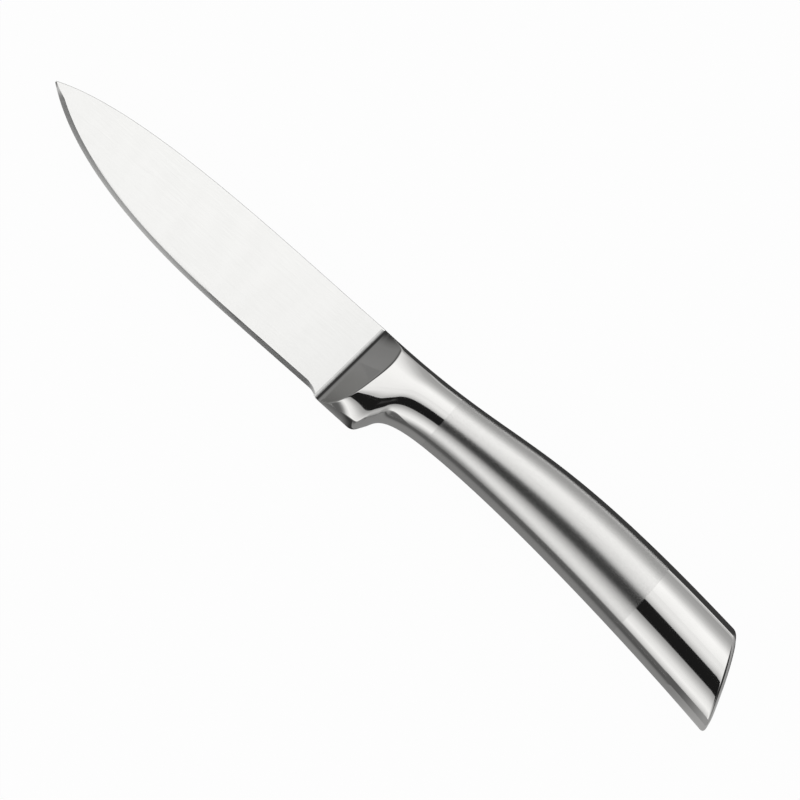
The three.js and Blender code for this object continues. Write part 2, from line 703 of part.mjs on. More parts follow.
// The knife lies on its right side, with the origin under the middle of its box.
const box = new THREE.Box3().setFromObject(knife);
const centre = box.getCenter(new THREE.Vector3());
knife.position.set(-centre.x, -centre.y, -box.min.z);

const part = new THREE.Group();
part.add(knife);

export default part;
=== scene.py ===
"""The looks of a small all-steel kitchen knife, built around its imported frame.

The knife lies on its right side on a pale floor. Its pieces are worked out in the knife's own frame,
in millimetres: x runs from the heel towards the butt, y from the cutting edge towards the spine and z
out of the left face, with z = 0 in the middle plane. KnifeFrame puts them into the row frame.
"""

import logging
import math
from collections.abc import Sequence
from dataclasses import dataclass, replace
from enum import Enum
from typing import Any, ClassVar

import bpy
import numpy as np
from mathutils import Matrix, Vector


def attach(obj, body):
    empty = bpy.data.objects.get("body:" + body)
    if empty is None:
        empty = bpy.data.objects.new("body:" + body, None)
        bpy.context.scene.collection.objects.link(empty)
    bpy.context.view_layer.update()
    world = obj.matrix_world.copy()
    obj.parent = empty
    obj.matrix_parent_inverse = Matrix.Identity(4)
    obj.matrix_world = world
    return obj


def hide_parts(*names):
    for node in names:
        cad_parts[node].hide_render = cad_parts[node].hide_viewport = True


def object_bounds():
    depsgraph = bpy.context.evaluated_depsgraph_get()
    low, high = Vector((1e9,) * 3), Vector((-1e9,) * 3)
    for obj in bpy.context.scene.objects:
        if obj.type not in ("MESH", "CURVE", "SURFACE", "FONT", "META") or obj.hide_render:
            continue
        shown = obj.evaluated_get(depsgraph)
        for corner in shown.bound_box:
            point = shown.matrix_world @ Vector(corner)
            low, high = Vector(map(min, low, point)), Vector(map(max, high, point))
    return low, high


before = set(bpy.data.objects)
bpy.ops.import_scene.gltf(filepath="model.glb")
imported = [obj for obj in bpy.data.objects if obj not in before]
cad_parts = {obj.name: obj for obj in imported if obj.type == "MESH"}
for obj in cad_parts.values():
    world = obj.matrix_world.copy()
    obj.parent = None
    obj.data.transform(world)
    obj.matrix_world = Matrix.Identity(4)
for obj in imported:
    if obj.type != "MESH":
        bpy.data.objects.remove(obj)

CAD_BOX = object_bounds()
MILLIMETRE = 0.001
BODY = "root"
WIDE_NOISE = (0.3, 0.7)
MIDDLE_NOISE = (0.35, 0.65)
LOG = logging.getLogger("knife")


class Slot(Enum):
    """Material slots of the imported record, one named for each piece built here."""

    BLADE = "blade_steel"
    POLISHED = "polished_steel"
    GRIP = "grip_steel"
    WELD = "weld_steel"


def point(x: float, y: float) -> np.ndarray:
    """Give a point of the side view."""
    return np.array([x, y], float)


def bezier(points: Sequence[np.ndarray], shares: np.ndarray) -> np.ndarray:
    """Give points of a Bezier curve of any degree.

    Args:
        points: Its control points.
        shares: Where on the curve, from 0 to 1.

    Returns:
        One row for each share.
    """
    rows = [np.broadcast_to(p, (len(shares), len(p))) for p in points]
    weight = shares[:, None]
    while len(rows) > 1:
        rows = [a * (1 - weight) + b * weight for a, b in zip(rows, rows[1:])]
    return rows[0]


def reaching(
    start: np.ndarray, pull: np.ndarray, end_pull: np.ndarray, end: np.ndarray
) -> list[np.ndarray]:
    """Give the control points of a cubic curve that leaves each end along its pull."""
    return [start, start + pull, end + end_pull, end]


def along(line: np.ndarray, shares: np.ndarray) -> np.ndarray:
    """Give points at equal shares of a dense line's length.

    Args:
        line: Points of the line, in order.
        shares: Shares of its length, from 0 to 1.

    Returns:
        One row for each share.
    """
    lengths = np.concatenate([[0.0], np.cumsum(np.linalg.norm(np.diff(line, axis=0), axis=1))])
    wanted = np.asarray(shares, float) * lengths[-1]
    return np.stack([np.interp(wanted, lengths, line[:, k]) for k in range(line.shape[1])], axis=-1)


def smooth_share(value: float, ends: tuple[float, float]) -> float:
    """Give how far a value is from one end to the other, from 0 to 1, with a soft start and end."""
    share = min(max((value - ends[0]) / (ends[1] - ends[0]), 0.0), 1.0)
    return share * share * (3 - 2 * share)


def soft_least(a: np.ndarray, b: np.ndarray, blend: float) -> np.ndarray:
    """Give the lesser of two heights, rounded over where they meet.

    Args:
        a: First heights.
        b: Second heights.
        blend: Difference of heights below which the two blend.

    Returns:
        The rounded lesser heights.
    """
    near = np.clip(1 - np.abs(a - b) / blend, 0, 1)
    return np.minimum(a, b) - blend * near**2 / 4


@dataclass(frozen=True)
class KnifeFrame:
    """Shift from the knife's own frame to the row frame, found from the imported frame's box."""

    blade_length: float
    heel_drop: float

    def place(self, points: np.ndarray) -> np.ndarray:
        """Give points in millimetres of the knife's frame as metres of the row frame."""
        low = np.array(CAD_BOX[0]) / MILLIMETRE
        high = np.array(CAD_BOX[1]) / MILLIMETRE
        shift = np.array([low[0] + self.blade_length, low[1] + self.heel_drop, (low[2] + high[2]) / 2])
        return (np.asarray(points, float) + shift) * MILLIMETRE

    def spot(self, x: float, y: float) -> np.ndarray:
        """Give a point of the middle plane in the row frame."""
        return self.place(np.array([x, y, 0.0]))

    def across(self, x: float) -> float:
        """Give the row frame's x, in metres, of an x in the knife's frame."""
        return float(self.spot(x, 0.0)[0])


@dataclass(frozen=True)
class Rim:
    """Spine or belly of a section: its two edges, and how far its middle stands above them."""

    crown: float
    half: float
    rounding: float

    @property
    def radius(self) -> float:
        """Give the radius of the arc through the middle and both edges."""
        return (self.half**2 + self.crown**2) / (2 * self.crown)


@dataclass(frozen=True)
class Section:
    """A section of the handle: two rims, and sides that are widest at a share of its height."""

    at: float
    wide_share: float
    wide_half: float
    spine: Rim
    belly: Rim

    MEETING_ROUNDS: ClassVar[int] = 12

    def values(self) -> np.ndarray:
        """Give every size of the section in one row."""
        rims = [(rim.crown, rim.half, rim.rounding) for rim in (self.spine, self.belly)]
        return np.array([self.wide_share, self.wide_half, *rims[0], *rims[1]])

    @classmethod
    def from_values(cls, at: float, values: np.ndarray) -> "Section":
        """Make a section from the row that values() gives."""
        share, half, *rims = (float(v) for v in values)
        return cls(at, share, half, Rim(*rims[:3]), Rim(*rims[3:]))

    def slanted(self, height: float, stretch: float) -> "Section":
        """Give the section where the underside runs at a slant to it.

        Args:
            height: Height of the section.
            stretch: How much the belly's rim is stretched upwards. It meets the sides further up then.

        Returns:
            The section with the belly's rim as far as the sides, not stretched yet.
        """
        rim = self.belly
        wide = self.wide_share * height
        crown = rim.crown
        half = rim.half
        for _ in range(self.MEETING_ROUNDS):
            share = (wide - crown * stretch) / (wide - rim.crown)
            half = self.wide_half - (self.wide_half - rim.half) * share**2
            crown = rim.radius - math.sqrt(rim.radius**2 - half**2)
        return replace(self, belly=Rim(crown, half, rim.rounding))


@dataclass(frozen=True)
class Arc:
    """An arc of a half section, in its plane: height above the underside, and distance from the middle."""

    centre: np.ndarray
    radius: float

    def at(self, angles: np.ndarray) -> np.ndarray:
        """Give the arc's points at angles from the direction of the spine."""
        return self.centre + self.radius * np.stack([np.cos(angles), np.sin(angles)], axis=-1)

    def towards(self, other: "Arc") -> float:
        """Give the angle of the direction to another arc's centre."""
        line = other.centre - self.centre
        return math.atan2(line[1], line[0])

    def fillet(self, other: "Arc", radius: float, corner: np.ndarray) -> "Arc":
        """Give the arc that rounds the corner between this arc and another one.

        Args:
            other: The other arc.
            radius: Of the rounding.
            corner: The sharp corner, which the rounding lies nearest to.

        Returns:
            The rounding's arc, inside both.
        """
        mine, its = self.radius - radius, other.radius - radius
        line = other.centre - self.centre
        gap = float(np.linalg.norm(line))
        reach = (mine**2 - its**2 + gap**2) / (2 * gap)
        aside = math.sqrt(max(mine**2 - reach**2, 0.0))
        line = line / gap
        foot = self.centre + line * reach
        normal = np.array([-line[1], line[0]])
        if normal @ (corner - foot) < 0:
            normal = -normal
        return Arc(foot + normal * aside, radius)


@dataclass(frozen=True)
class Station:
    """A plane across the handle, square to the side view, from its underside to its back."""

    bottom: np.ndarray
    top: np.ndarray
    section: Section
    stretch: float = 1.0

    @property
    def height(self) -> float:
        """Give the height of the plane's section."""
        return float(np.linalg.norm(self.top - self.bottom))

    @property
    def up(self) -> np.ndarray:
        """Give the plane's direction in the side view, from the underside to the back."""
        return (self.top - self.bottom) / self.height

    def put(self, outline: np.ndarray) -> np.ndarray:
        """Give an outline's heights and distances from the middle as points of the knife's frame.

        Args:
            outline: Two columns. The belly's rim is stretched where the underside runs at a slant, so that
                it looks equally wide all along the underside.

        Returns:
            Three columns.
        """
        crown = self.section.belly.crown
        marks = [0.0, crown, self.section.wide_share * self.height, self.height]
        moved = [0.0, crown * self.stretch, marks[2], marks[3]]
        flat = self.bottom + np.interp(outline[:, 0], marks, moved)[:, None] * self.up
        return np.column_stack([flat, outline[:, 1]])


class Grain(Enum):
    """How finely an outline is cut: steps on its crown, rounding, two sides, rounding and crown."""

    FINE = (10, 14, 36, 48, 14, 10)
    PLAIN = (3, 3, 8, 10, 3, 3)


@dataclass(frozen=True)
class HandleForm:
    """The form of the whole handle, from the blade joint to the butt, that its pieces share."""

    blade_height: float = 21.1
    joint_lean: float = 1.4
    heel_drop: float = 0.65
    heel_length: float = 10.7
    heel_rounding: float = 1.3
    notch_wall: tuple[float, float] = (12.4, 2.1)
    notch_wall_pull: tuple[float, float] = (1.1, 1.6)
    bolster_length: float = 24.4
    neck_bottom: float = 7.3
    neck_slope: float = 0.069
    neck_notch_pull: float = 11.5
    handle_length: float = 113.8
    butt_lean: float = 9.4
    butt_top: float = 23.5
    butt_bottom: float = 1.7
    back_front_pull: tuple[float, float] = (41.9, -0.6)
    back_butt_pull: tuple[float, float] = (-64.6, 5.4)
    belly_neck_pull: float = 20.6
    belly_butt_pull: tuple[float, float] = (-29.2, 3.9)
    heel_middle: float = 4.5
    palm_at: float = 65.0
    satin_end: float = 83.6
    least_rounding: float = 0.2
    curve_steps: int = 2000
    stretch_most: float = 0.46
    stretch_rise: tuple[float, float] = (10.2, 11.2)
    stretch_fall: tuple[float, float] = (20.0, 11.6)

    @property
    def root(self) -> np.ndarray:
        """Give the spine end of the blade joint."""
        return point(self.joint_lean, self.blade_height)

    @property
    def joint_slope(self) -> float:
        """Give how far the blade joint leans back for each millimetre of height."""
        return self.joint_lean / (self.blade_height + self.heel_drop)

    @property
    def neck(self) -> np.ndarray:
        """Give the underside's point at the joint of bolster and grip."""
        return point(self.bolster_length, self.neck_bottom)

    @property
    def butt_corner(self) -> np.ndarray:
        """Give the upper corner of the butt."""
        return point(self.handle_length - self.butt_lean, self.butt_top)

    @property
    def grip_length(self) -> float:
        """Give the grip's length along the back."""
        return float(self.butt_corner[0]) - self.bolster_length

    def sections(self) -> list[Section]:
        """Give the sections that the handle runs through, from the heel to the butt."""
        butt_at = self.handle_length - self.butt_lean / 2
        return [
            Section(0, 0.45, 6.5, Rim(1.0, 4.1, 1.5), Rim(0.3, 1.2, 0.4)),
            Section(self.heel_middle, 0.32, 6.6, Rim(1.0, 4.0, 1.5), Rim(0.8, 3.8, 0.6)),
            Section(self.heel_length, 0.51, 6.7, Rim(1.0, 4.1, 1.8), Rim(1.6, 4.7, 0.8)),
            Section(self.bolster_length, 0.557, 6.8, Rim(0.95, 4.4, 0.8), Rim(1.75, 4.7, 1.0)),
            Section(self.palm_at, 0.57, 7.5, Rim(1.4, 4.6, 1.0), Rim(2.1, 4.95, 2.8)),
            Section(butt_at, 0.56, 7.5, Rim(1.9, 4.5, 0.6), Rim(2.6, 4.8, 2.4)),
        ]

    def section_at(self, x: float) -> Section:
        """Give the section at a distance behind the heel.

        Args:
            x: The distance.

        Returns:
            Its sizes, on smooth curves through those of sections().
        """
        given = self.sections()
        ats = np.array([s.at for s in given])
        rows = np.array([s.values() for s in given])
        last = len(given) - 1
        before = np.maximum(np.arange(last + 1) - 1, 0)
        after = np.minimum(np.arange(last + 1) + 1, last)
        slopes = (rows[after] - rows[before]) / (ats[after] - ats[before])[:, None]
        i = int(np.clip(np.searchsorted(ats, x) - 1, 0, last - 1))
        span = ats[i + 1] - ats[i]
        t = float(np.clip((x - ats[i]) / span, 0, 1))
        rise = t * t * (3 - 2 * t)
        bend = t * (1 - t) ** 2 * span * slopes[i] + t * t * (t - 1) * span * slopes[i + 1]
        return Section.from_values(x, rows[i] + (rows[i + 1] - rows[i]) * rise + bend)

    def dense(self, points: Sequence[np.ndarray]) -> np.ndarray:
        """Give dense points of a Bezier curve."""
        return bezier(points, np.linspace(0, 1, self.curve_steps))

    def back(self) -> np.ndarray:
        """Give dense points of the back, from the blade joint to the butt."""
        pulls = [point(*pull) for pull in (self.back_front_pull, self.back_butt_pull)]
        return self.dense(reaching(self.root, *pulls, self.butt_corner))

    def back_at(self, x: float) -> np.ndarray:
        """Give the back's point at an x."""
        line = self.back()
        return point(x, float(np.interp(x, line[:, 0], line[:, 1])))

    def underside_runs(self) -> list[np.ndarray]:
        """Give the underside of the bolster as four dense runs: heel, corner, notch wall and notch."""
        corner = point(self.heel_length, -self.heel_drop)
        wall = point(*self.notch_wall)
        wall_way = (wall - corner) / np.linalg.norm(wall - corner)
        corner_start = corner - point(self.heel_rounding, 0)
        corner_end = corner + wall_way * self.heel_rounding
        neck_pull = -self.neck_notch_pull * point(1, self.neck_slope)
        runs = (
            [point(0, -self.heel_drop), corner_start],
            [corner_start, corner, corner_end],
            [corner_end, wall],
            reaching(wall, point(*self.notch_wall_pull), neck_pull, self.neck),
        )
        return [self.dense(run) for run in runs]

    def belly(self) -> np.ndarray:
        """Give dense points of the grip's underside, from the neck to the butt."""
        pull = self.belly_neck_pull * point(1, self.neck_slope)
        butt = point(self.handle_length, self.butt_bottom)
        return self.dense(reaching(self.neck, pull, point(*self.belly_butt_pull), butt))

    def station(self, bottom: np.ndarray, top: np.ndarray) -> Station:
        """Give the station between a point of the underside and one of the back."""
        return Station(bottom, top, self.section_at(float(bottom[0] + top[0]) / 2))

    def bolster_stations(self, shares: np.ndarray) -> list[Station]:
        """Give stations of the bolster at shares of its underside's length."""
        bottoms = along(np.vstack(self.underside_runs()), shares)
        tops = self.root[0] + shares * (self.bolster_length - self.root[0])
        places = []
        for bottom, x in zip(bottoms, tops):
            place = self.station(bottom, self.back_at(x))
            rise = smooth_share(float(bottom[0]), self.stretch_rise)
            stretch = 1 + self.stretch_most * rise * smooth_share(float(bottom[0]), self.stretch_fall)
            section = place.section.slanted(place.height, stretch)
            places.append(replace(place, section=section, stretch=stretch))
        return places

    def grip_stations(self, distances: np.ndarray) -> list[Station]:
        """Give stations of the grip at distances behind the bolster, along the back."""
        bottoms = along(self.belly(), distances / self.grip_length)
        tops = self.bolster_length + distances
        return [self.station(bottom, self.back_at(x)) for bottom, x in zip(bottoms, tops)]

    def half_outline(
        self, place: Station, depth: float = 0.0, from_middle: float = 0.0, grain: Grain = Grain.FINE
    ) -> np.ndarray:
        """Give the left half of a section, from the spine to the belly.

        Args:
            place: The station.
            depth: How far the outline lies inside the surface.
            from_middle: Where the half starts and ends, from the middle plane.
            grain: How finely it is cut.

        Returns:
            Heights above the underside and distances from the middle, on arcs that run into one another.
        """
        form = place.section
        height = place.height
        wide = form.wide_share * height
        spine_edge = point(height - form.spine.crown, form.spine.half)
        belly_edge = point(form.belly.crown, form.belly.half)
        spine = Arc(point(height - form.spine.radius, 0), form.spine.radius - depth)
        belly = Arc(point(form.belly.radius, 0), form.belly.radius - depth)
        sides = []
        for edge in (spine_edge, belly_edge):
            bow = form.wide_half - edge[1]
            radius = ((edge[0] - wide) ** 2 + bow**2) / (2 * bow)
            sides.append(Arc(point(wide, form.wide_half - radius), radius - depth))
        upper, lower = sides
        spine_round = spine.fillet(upper, max(form.spine.rounding - depth, self.least_rounding), spine_edge)
        belly_round = belly.fillet(lower, max(form.belly.rounding - depth, self.least_rounding), belly_edge)
        arcs = [spine, spine_round, upper, lower, belly_round, belly]
        turns = [
            math.asin(from_middle / spine.radius),
            spine.towards(spine_round),
            upper.towards(spine_round),
            math.pi / 2,
            lower.towards(belly_round),
            belly.towards(belly_round),
            math.pi - math.asin(from_middle / belly.radius),
        ]
        runs = [
            arc.at(np.linspace(start, end, count, endpoint=False))
            for arc, start, end, count in zip(arcs, turns, turns[1:], grain.value)
        ]
        last = belly.at(np.array([turns[-1]]))
        outline = np.vstack([*runs, last])
        outline[[0, -1], 1] = from_middle
        return outline

    def ring(self, place: Station, depth: float = 0.0, grain: Grain = Grain.FINE) -> np.ndarray:
        """Give the whole outline of a station, as a closed ring of points of the knife's frame."""
        left = self.half_outline(place, depth, grain=grain)
        right = left[-2:0:-1] * np.array([1, -1])
        return place.put(np.vstack([left, right]))


@dataclass(frozen=True)
class Piece:
    """A closed mesh of the object: a loft through closed rings of equally many points of the knife's frame.

    It has flat ends, unless it is endless: then its last ring runs back into the first one.
    """

    name: str
    rings: Sequence[np.ndarray]
    endless: bool = False

    def faces(self) -> list[tuple[int, ...]]:
        """Give the loft's faces as rows of point numbers."""
        count = len(self.rings[0])
        last = (len(self.rings) - 1) * count
        column = np.arange(count)
        beside = (column + 1) % count
        faces = []
        for here in range(0, last + count if self.endless else last, count):
            there = (here + count) % (last + count)
            quads = np.stack([here + column, here + beside, there + beside, there + column], axis=-1)
            faces.extend(map(tuple, quads.tolist()))
        if not self.endless:
            faces.append(tuple(range(count - 1, -1, -1)))
            faces.append(tuple(range(last, last + count)))
        return faces

    def finish(self, placing: KnifeFrame, crease: float) -> bpy.types.Object:
        """Make the piece's object, at the origin, in the row frame.

        Args:
            placing: The shift into the row frame.
            crease: Angle between faces, in radians, from which their edge stays sharp.

        Returns:
            The object, linked to the scene.
        """
        mesh = bpy.data.meshes.new(self.name)
        mesh.from_pydata(placing.place(np.vstack(self.rings)).tolist(), [], self.faces())
        mesh.validate()
        face_outwards(mesh)
        return show(self.name, mesh, crease)


def face_outwards(mesh: bpy.types.Mesh) -> None:
    """Turn a closed mesh the right way round, if it encloses a negative volume."""
    mesh.calc_loop_triangles()
    corners = np.empty(len(mesh.loop_triangles) * 3, np.int32)
    mesh.loop_triangles.foreach_get("vertices", corners)
    places = np.empty(len(mesh.vertices) * 3, np.float32)
    mesh.vertices.foreach_get("co", places)
    a, b, c = places.reshape(-1, 3)[corners.reshape(-1, 3)].astype(float).transpose(1, 0, 2)
    if np.einsum("ij,ij->i", a, np.cross(b, c)).sum() < 0:
        mesh.flip_normals()


def show(name: str, mesh: bpy.types.Mesh, crease: float) -> bpy.types.Object:
    """Link a mesh to the scene as a smooth object whose sharp edges stay sharp."""
    mesh.shade_smooth()
    mesh.set_sharp_from_angle(angle=crease)
    piece = bpy.data.objects.new(name, mesh)
    bpy.context.scene.collection.objects.link(piece)
    return piece


def dress(piece: bpy.types.Object, material: bpy.types.Material, slot: Slot, *nodes: str) -> None:
    """Give a piece its finish and say which CAD nodes it stands for.

    Args:
        piece: The finished piece.
        material: Its finish.
        slot: The record's slot that the finish belongs to. It is not used.
        nodes: The CAD nodes that it replaces.
    """
    piece.data.materials.clear()
    piece.data.materials.append(material)
    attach(piece, BODY)
    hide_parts(*nodes)
    triangles = sum(len(p.vertices) - 2 for p in piece.data.polygons)
    LOG.info("%s stands for %s: %d triangles", piece.name, ", ".join(nodes), triangles)


class Value:
    """A socket's value in a tree of nodes. Operators on it add Math nodes."""

    def __init__(self, book: "Tree", socket: bpy.types.NodeSocket) -> None:
        """Wrap an output socket of a tree."""
        self.book = book
        self.socket = socket

    def _math(self, operation: str, *values: Any) -> "Value":
        """Add a Math node on these values."""
        return self.book.add("ShaderNodeMath", {"operation": operation}, dict(enumerate(values)))

    def __add__(self, other: Any) -> "Value":
        """Give the sum."""
        return self._math("ADD", self, other)

    __radd__ = __add__

    def __sub__(self, other: Any) -> "Value":
        """Give the difference."""
        return self._math("SUBTRACT", self, other)

    def __rsub__(self, other: Any) -> "Value":
        """Give the difference from a number."""
        return self._math("SUBTRACT", other, self)

    def __mul__(self, other: Any) -> "Value":
        """Give the product."""
        return self._math("MULTIPLY", self, other)

    __rmul__ = __mul__

    def at_least(self, low: float) -> "Value":
        """Give the value, or a lowest value."""
        return self._math("MAXIMUM", self, low)

    def root(self) -> "Value":
        """Give the square root."""
        return self._math("SQRT", self)

    def between(self, low: float, high: float, start: float = 0.0, end: float = 1.0) -> "Value":
        """Give the value moved smoothly from one range to another, and held at its ends."""
        settings = {"interpolation_type": "SMOOTHSTEP"}
        sockets = {"Value": self, "From Min": low, "From Max": high, "To Min": start, "To Max": end}
        return self.book.add("ShaderNodeMapRange", settings, sockets)


@dataclass(frozen=True)
class Mottle:
    """Noise on an object's coordinates: features in a metre, factors on the coordinates, finer octaves."""

    scale: float
    stretch: tuple[float, float, float] = (1.0, 1.0, 1.0)
    detail: float = 2.0


class Tree:
    """A tree of nodes in the making."""

    def __init__(self, tree: bpy.types.NodeTree) -> None:
        """Start on an emptied tree."""
        self.tree = tree
        tree.nodes.clear()

    def node(self, kind: str, settings: dict[str, Any], sockets: dict[Any, Any]) -> bpy.types.Node:
        """Add a node.

        Args:
            kind: Its type.
            settings: Its properties, set first. "stops" are a ramp's places and grey levels.
            sockets: Values or links of its inputs, by name or number. A list links several to one input.

        Returns:
            The node.
        """
        node = self.tree.nodes.new(kind)
        for name, value in settings.items():
            if name == "stops":
                self._set_stops(node.color_ramp, value)
            else:
                setattr(node, name, value)
        for key, value in sockets.items():
            parts = value if isinstance(value, list) else [value]
            for part in parts:
                if isinstance(part, Value):
                    self.tree.links.new(part.socket, node.inputs[key])
                else:
                    node.inputs[key].default_value = part
        return node

    def add(
        self, kind: str, settings: dict[str, Any], sockets: dict[Any, Any], output: int | str = 0
    ) -> Value:
        """Add a node, as node() does, and give one of its outputs."""
        return Value(self, self.node(kind, settings, sockets).outputs[output])

    @staticmethod
    def _set_stops(ramp: bpy.types.ColorRamp, stops: Sequence[tuple[float, float]]) -> None:
        """Set a ramp's places and grey levels."""
        while len(ramp.elements) < len(stops):
            ramp.elements.new(1.0)
        for element, (place, level) in zip(ramp.elements, stops):
            element.position = place
            element.color = (level, level, level, 1)


class Nodes(Tree):
    """A shader tree in the making."""

    def noise(self, mottle: Mottle) -> Value:
        """Give noise, about 0.5 in the middle."""
        place = self.add("ShaderNodeTexCoord", {}, {}, "Object")
        scaled = self.add("ShaderNodeMapping", {}, {"Vector": place, "Scale": mottle.stretch})
        sockets = {"Vector": scaled, "Scale": mottle.scale, "Detail": mottle.detail}
        return self.add("ShaderNodeTexNoise", {}, sockets)

    def coordinate(self, axis: str) -> Value:
        """Give one of the object's coordinates, in metres."""
        place = self.add("ShaderNodeTexCoord", {}, {}, "Object")
        return self.add("ShaderNodeSeparateXYZ", {}, {0: place}, axis)

    def tint(self, share: Value, low: Any, high: Any) -> Value:
        """Give a colour between two, each a value or three numbers."""
        ends = [end if isinstance(end, Value) else (*end, 1) for end in (low, high)]
        sockets = {"Factor": share, 6: ends[0], 7: ends[1]}
        return self.add("ShaderNodeMix", {"data_type": "RGBA"}, sockets, 2)

    def ramp(self, place: Value, stops: Sequence[tuple[float, float]]) -> Value:
        """Give grey levels by a place from 0 to 1."""
        return self.add("ShaderNodeValToRGB", {"stops": stops}, {"Fac": place})

    def bump(self, height: Value, strength: float, distance: float) -> Value:
        """Give normals that follow a height."""
        sockets = {"Strength": strength, "Distance": distance, "Height": height}
        return self.add("ShaderNodeBump", {}, sockets)

    def close(self, shader: Value, kind: str = "ShaderNodeOutputMaterial") -> None:
        """Link a shader to the tree's output."""
        self.node(kind, {}, {"Surface": shader})


class GeometryRule(Tree):
    """A geometry tree in the making."""

    def __init__(self, name: str) -> None:
        """Start an empty tree."""
        super().__init__(bpy.data.node_groups.new(name, "GeometryNodeTree"))
        self.entry = self.node("NodeGroupInput", {}, {})

    def socket(self, name: str, kind: str) -> Value:
        """Add a named input to the tree."""
        self.tree.interface.new_socket(name, in_out="INPUT", socket_type=kind)
        return Value(self, self.entry.outputs[name])

    def attribute(self, name: str) -> Value:
        """Give a number that the mesh carries at each point."""
        return self.add("GeometryNodeInputNamedAttribute", {"data_type": "FLOAT"}, {"Name": name})

    def join(self, parts: list[Value]) -> Value:
        """Join geometries into one."""
        return self.add("GeometryNodeJoinGeometry", {}, {0: parts})

    def close(self, result: Value) -> bpy.types.NodeTree:
        """Link the result to the tree's output and give the tree."""
        self.tree.interface.new_socket("Geometry", in_out="OUTPUT", socket_type="NodeSocketGeometry")
        self.node("NodeGroupOutput", {}, {0: result})
        return self.tree

    @staticmethod
    def apply(mesh: bpy.types.Mesh, tree: bpy.types.NodeTree, sizes: dict[str, Any]) -> bpy.types.Mesh:
        """Run a tree on a mesh.

        Args:
            mesh: The mesh that it works on, which is removed.
            tree: The tree.
            sizes: Its inputs, by name.

        Returns:
            The result as a plain mesh.
        """
        helper = bpy.data.objects.new("rule_helper", mesh)
        bpy.context.scene.collection.objects.link(helper)
        modifier = helper.modifiers.new("rule", "NODES")
        modifier.node_group = tree
        for item in tree.interface.items_tree:
            if item.in_out == "INPUT" and item.name in sizes:
                modifier[item.identifier] = sizes[item.name]
        evaluated = helper.evaluated_get(bpy.context.evaluated_depsgraph_get())
        result = bpy.data.meshes.new_from_object(evaluated)
        helper.modifiers.remove(modifier)
        bpy.data.objects.remove(helper)
        bpy.data.meshes.remove(mesh)
        return result


def new_material(name: str) -> tuple[bpy.types.Material, Nodes]:
    """Make a material with an empty tree."""
    material = bpy.data.materials.new(name)
    material.use_nodes = True
    return material, Nodes(material.node_tree)


@dataclass(frozen=True)
class Finish:
    """A finish of the knife, on a Principled shader."""

    name: str

    def sockets(self, nodes: Nodes) -> dict[str, Any]:
        """Give the shader's inputs."""
        raise NotImplementedError

    def make(self) -> bpy.types.Material:
        """Make the material."""
        material, nodes = new_material(self.name)
        nodes.close(nodes.add("ShaderNodeBsdfPrincipled", {}, self.sockets(nodes)))
        return material


@dataclass(frozen=True)
class GroundSteel(Finish):
    """Satin ground steel of the blade: fine lines along it, and a coarser grind on the sharpened strip."""

    name: str = "ground_blade_steel"
    dark: tuple[float, float, float] = (0.865, 0.863, 0.848)
    light: tuple[float, float, float] = (0.935, 0.933, 0.918)
    roughness: float = 0.14
    lines: Mottle = Mottle(9000, (0.02, 1, 0.02), 3)
    clouds: Mottle = Mottle(220, (1, 0.35, 1), 3)
    relief: tuple[float, float] = (0.06, 0.00001)
    line_share: float = 0.6
    line_rough: float = 0.12
    cloud_rough: float = 0.06
    strip_border: tuple[float, float] = (0.86, 0.98)
    edge_roughness: float = 0.3
    edge_shade: tuple[float, float, float] = (0.6, 0.6, 0.59)

    def sockets(self, nodes: Nodes) -> dict[str, Any]:
        """Give the shader's inputs."""
        lines = nodes.noise(self.lines)
        clouds = nodes.noise(self.clouds)
        strip = nodes.add("ShaderNodeAttribute", {"attribute_name": BladePiece.STRIP}, {}, "Fac")
        sharpened = 1 - strip.between(*self.strip_border)
        tone = lines * self.line_share + clouds * (1 - self.line_share)
        flat_colour = nodes.tint(tone.between(*WIDE_NOISE), self.dark, self.light)
        colour = nodes.tint(sharpened, flat_colour, self.edge_shade)
        rough = self.roughness + (lines - 0.5) * self.line_rough + (clouds - 0.5) * self.cloud_rough
        rough = rough + sharpened * (self.edge_roughness - self.roughness)
        return {
            "Base Color": colour,
            "Metallic": 1.0,
            "Roughness": rough,
            "Normal": nodes.bump(lines, *self.relief),
        }


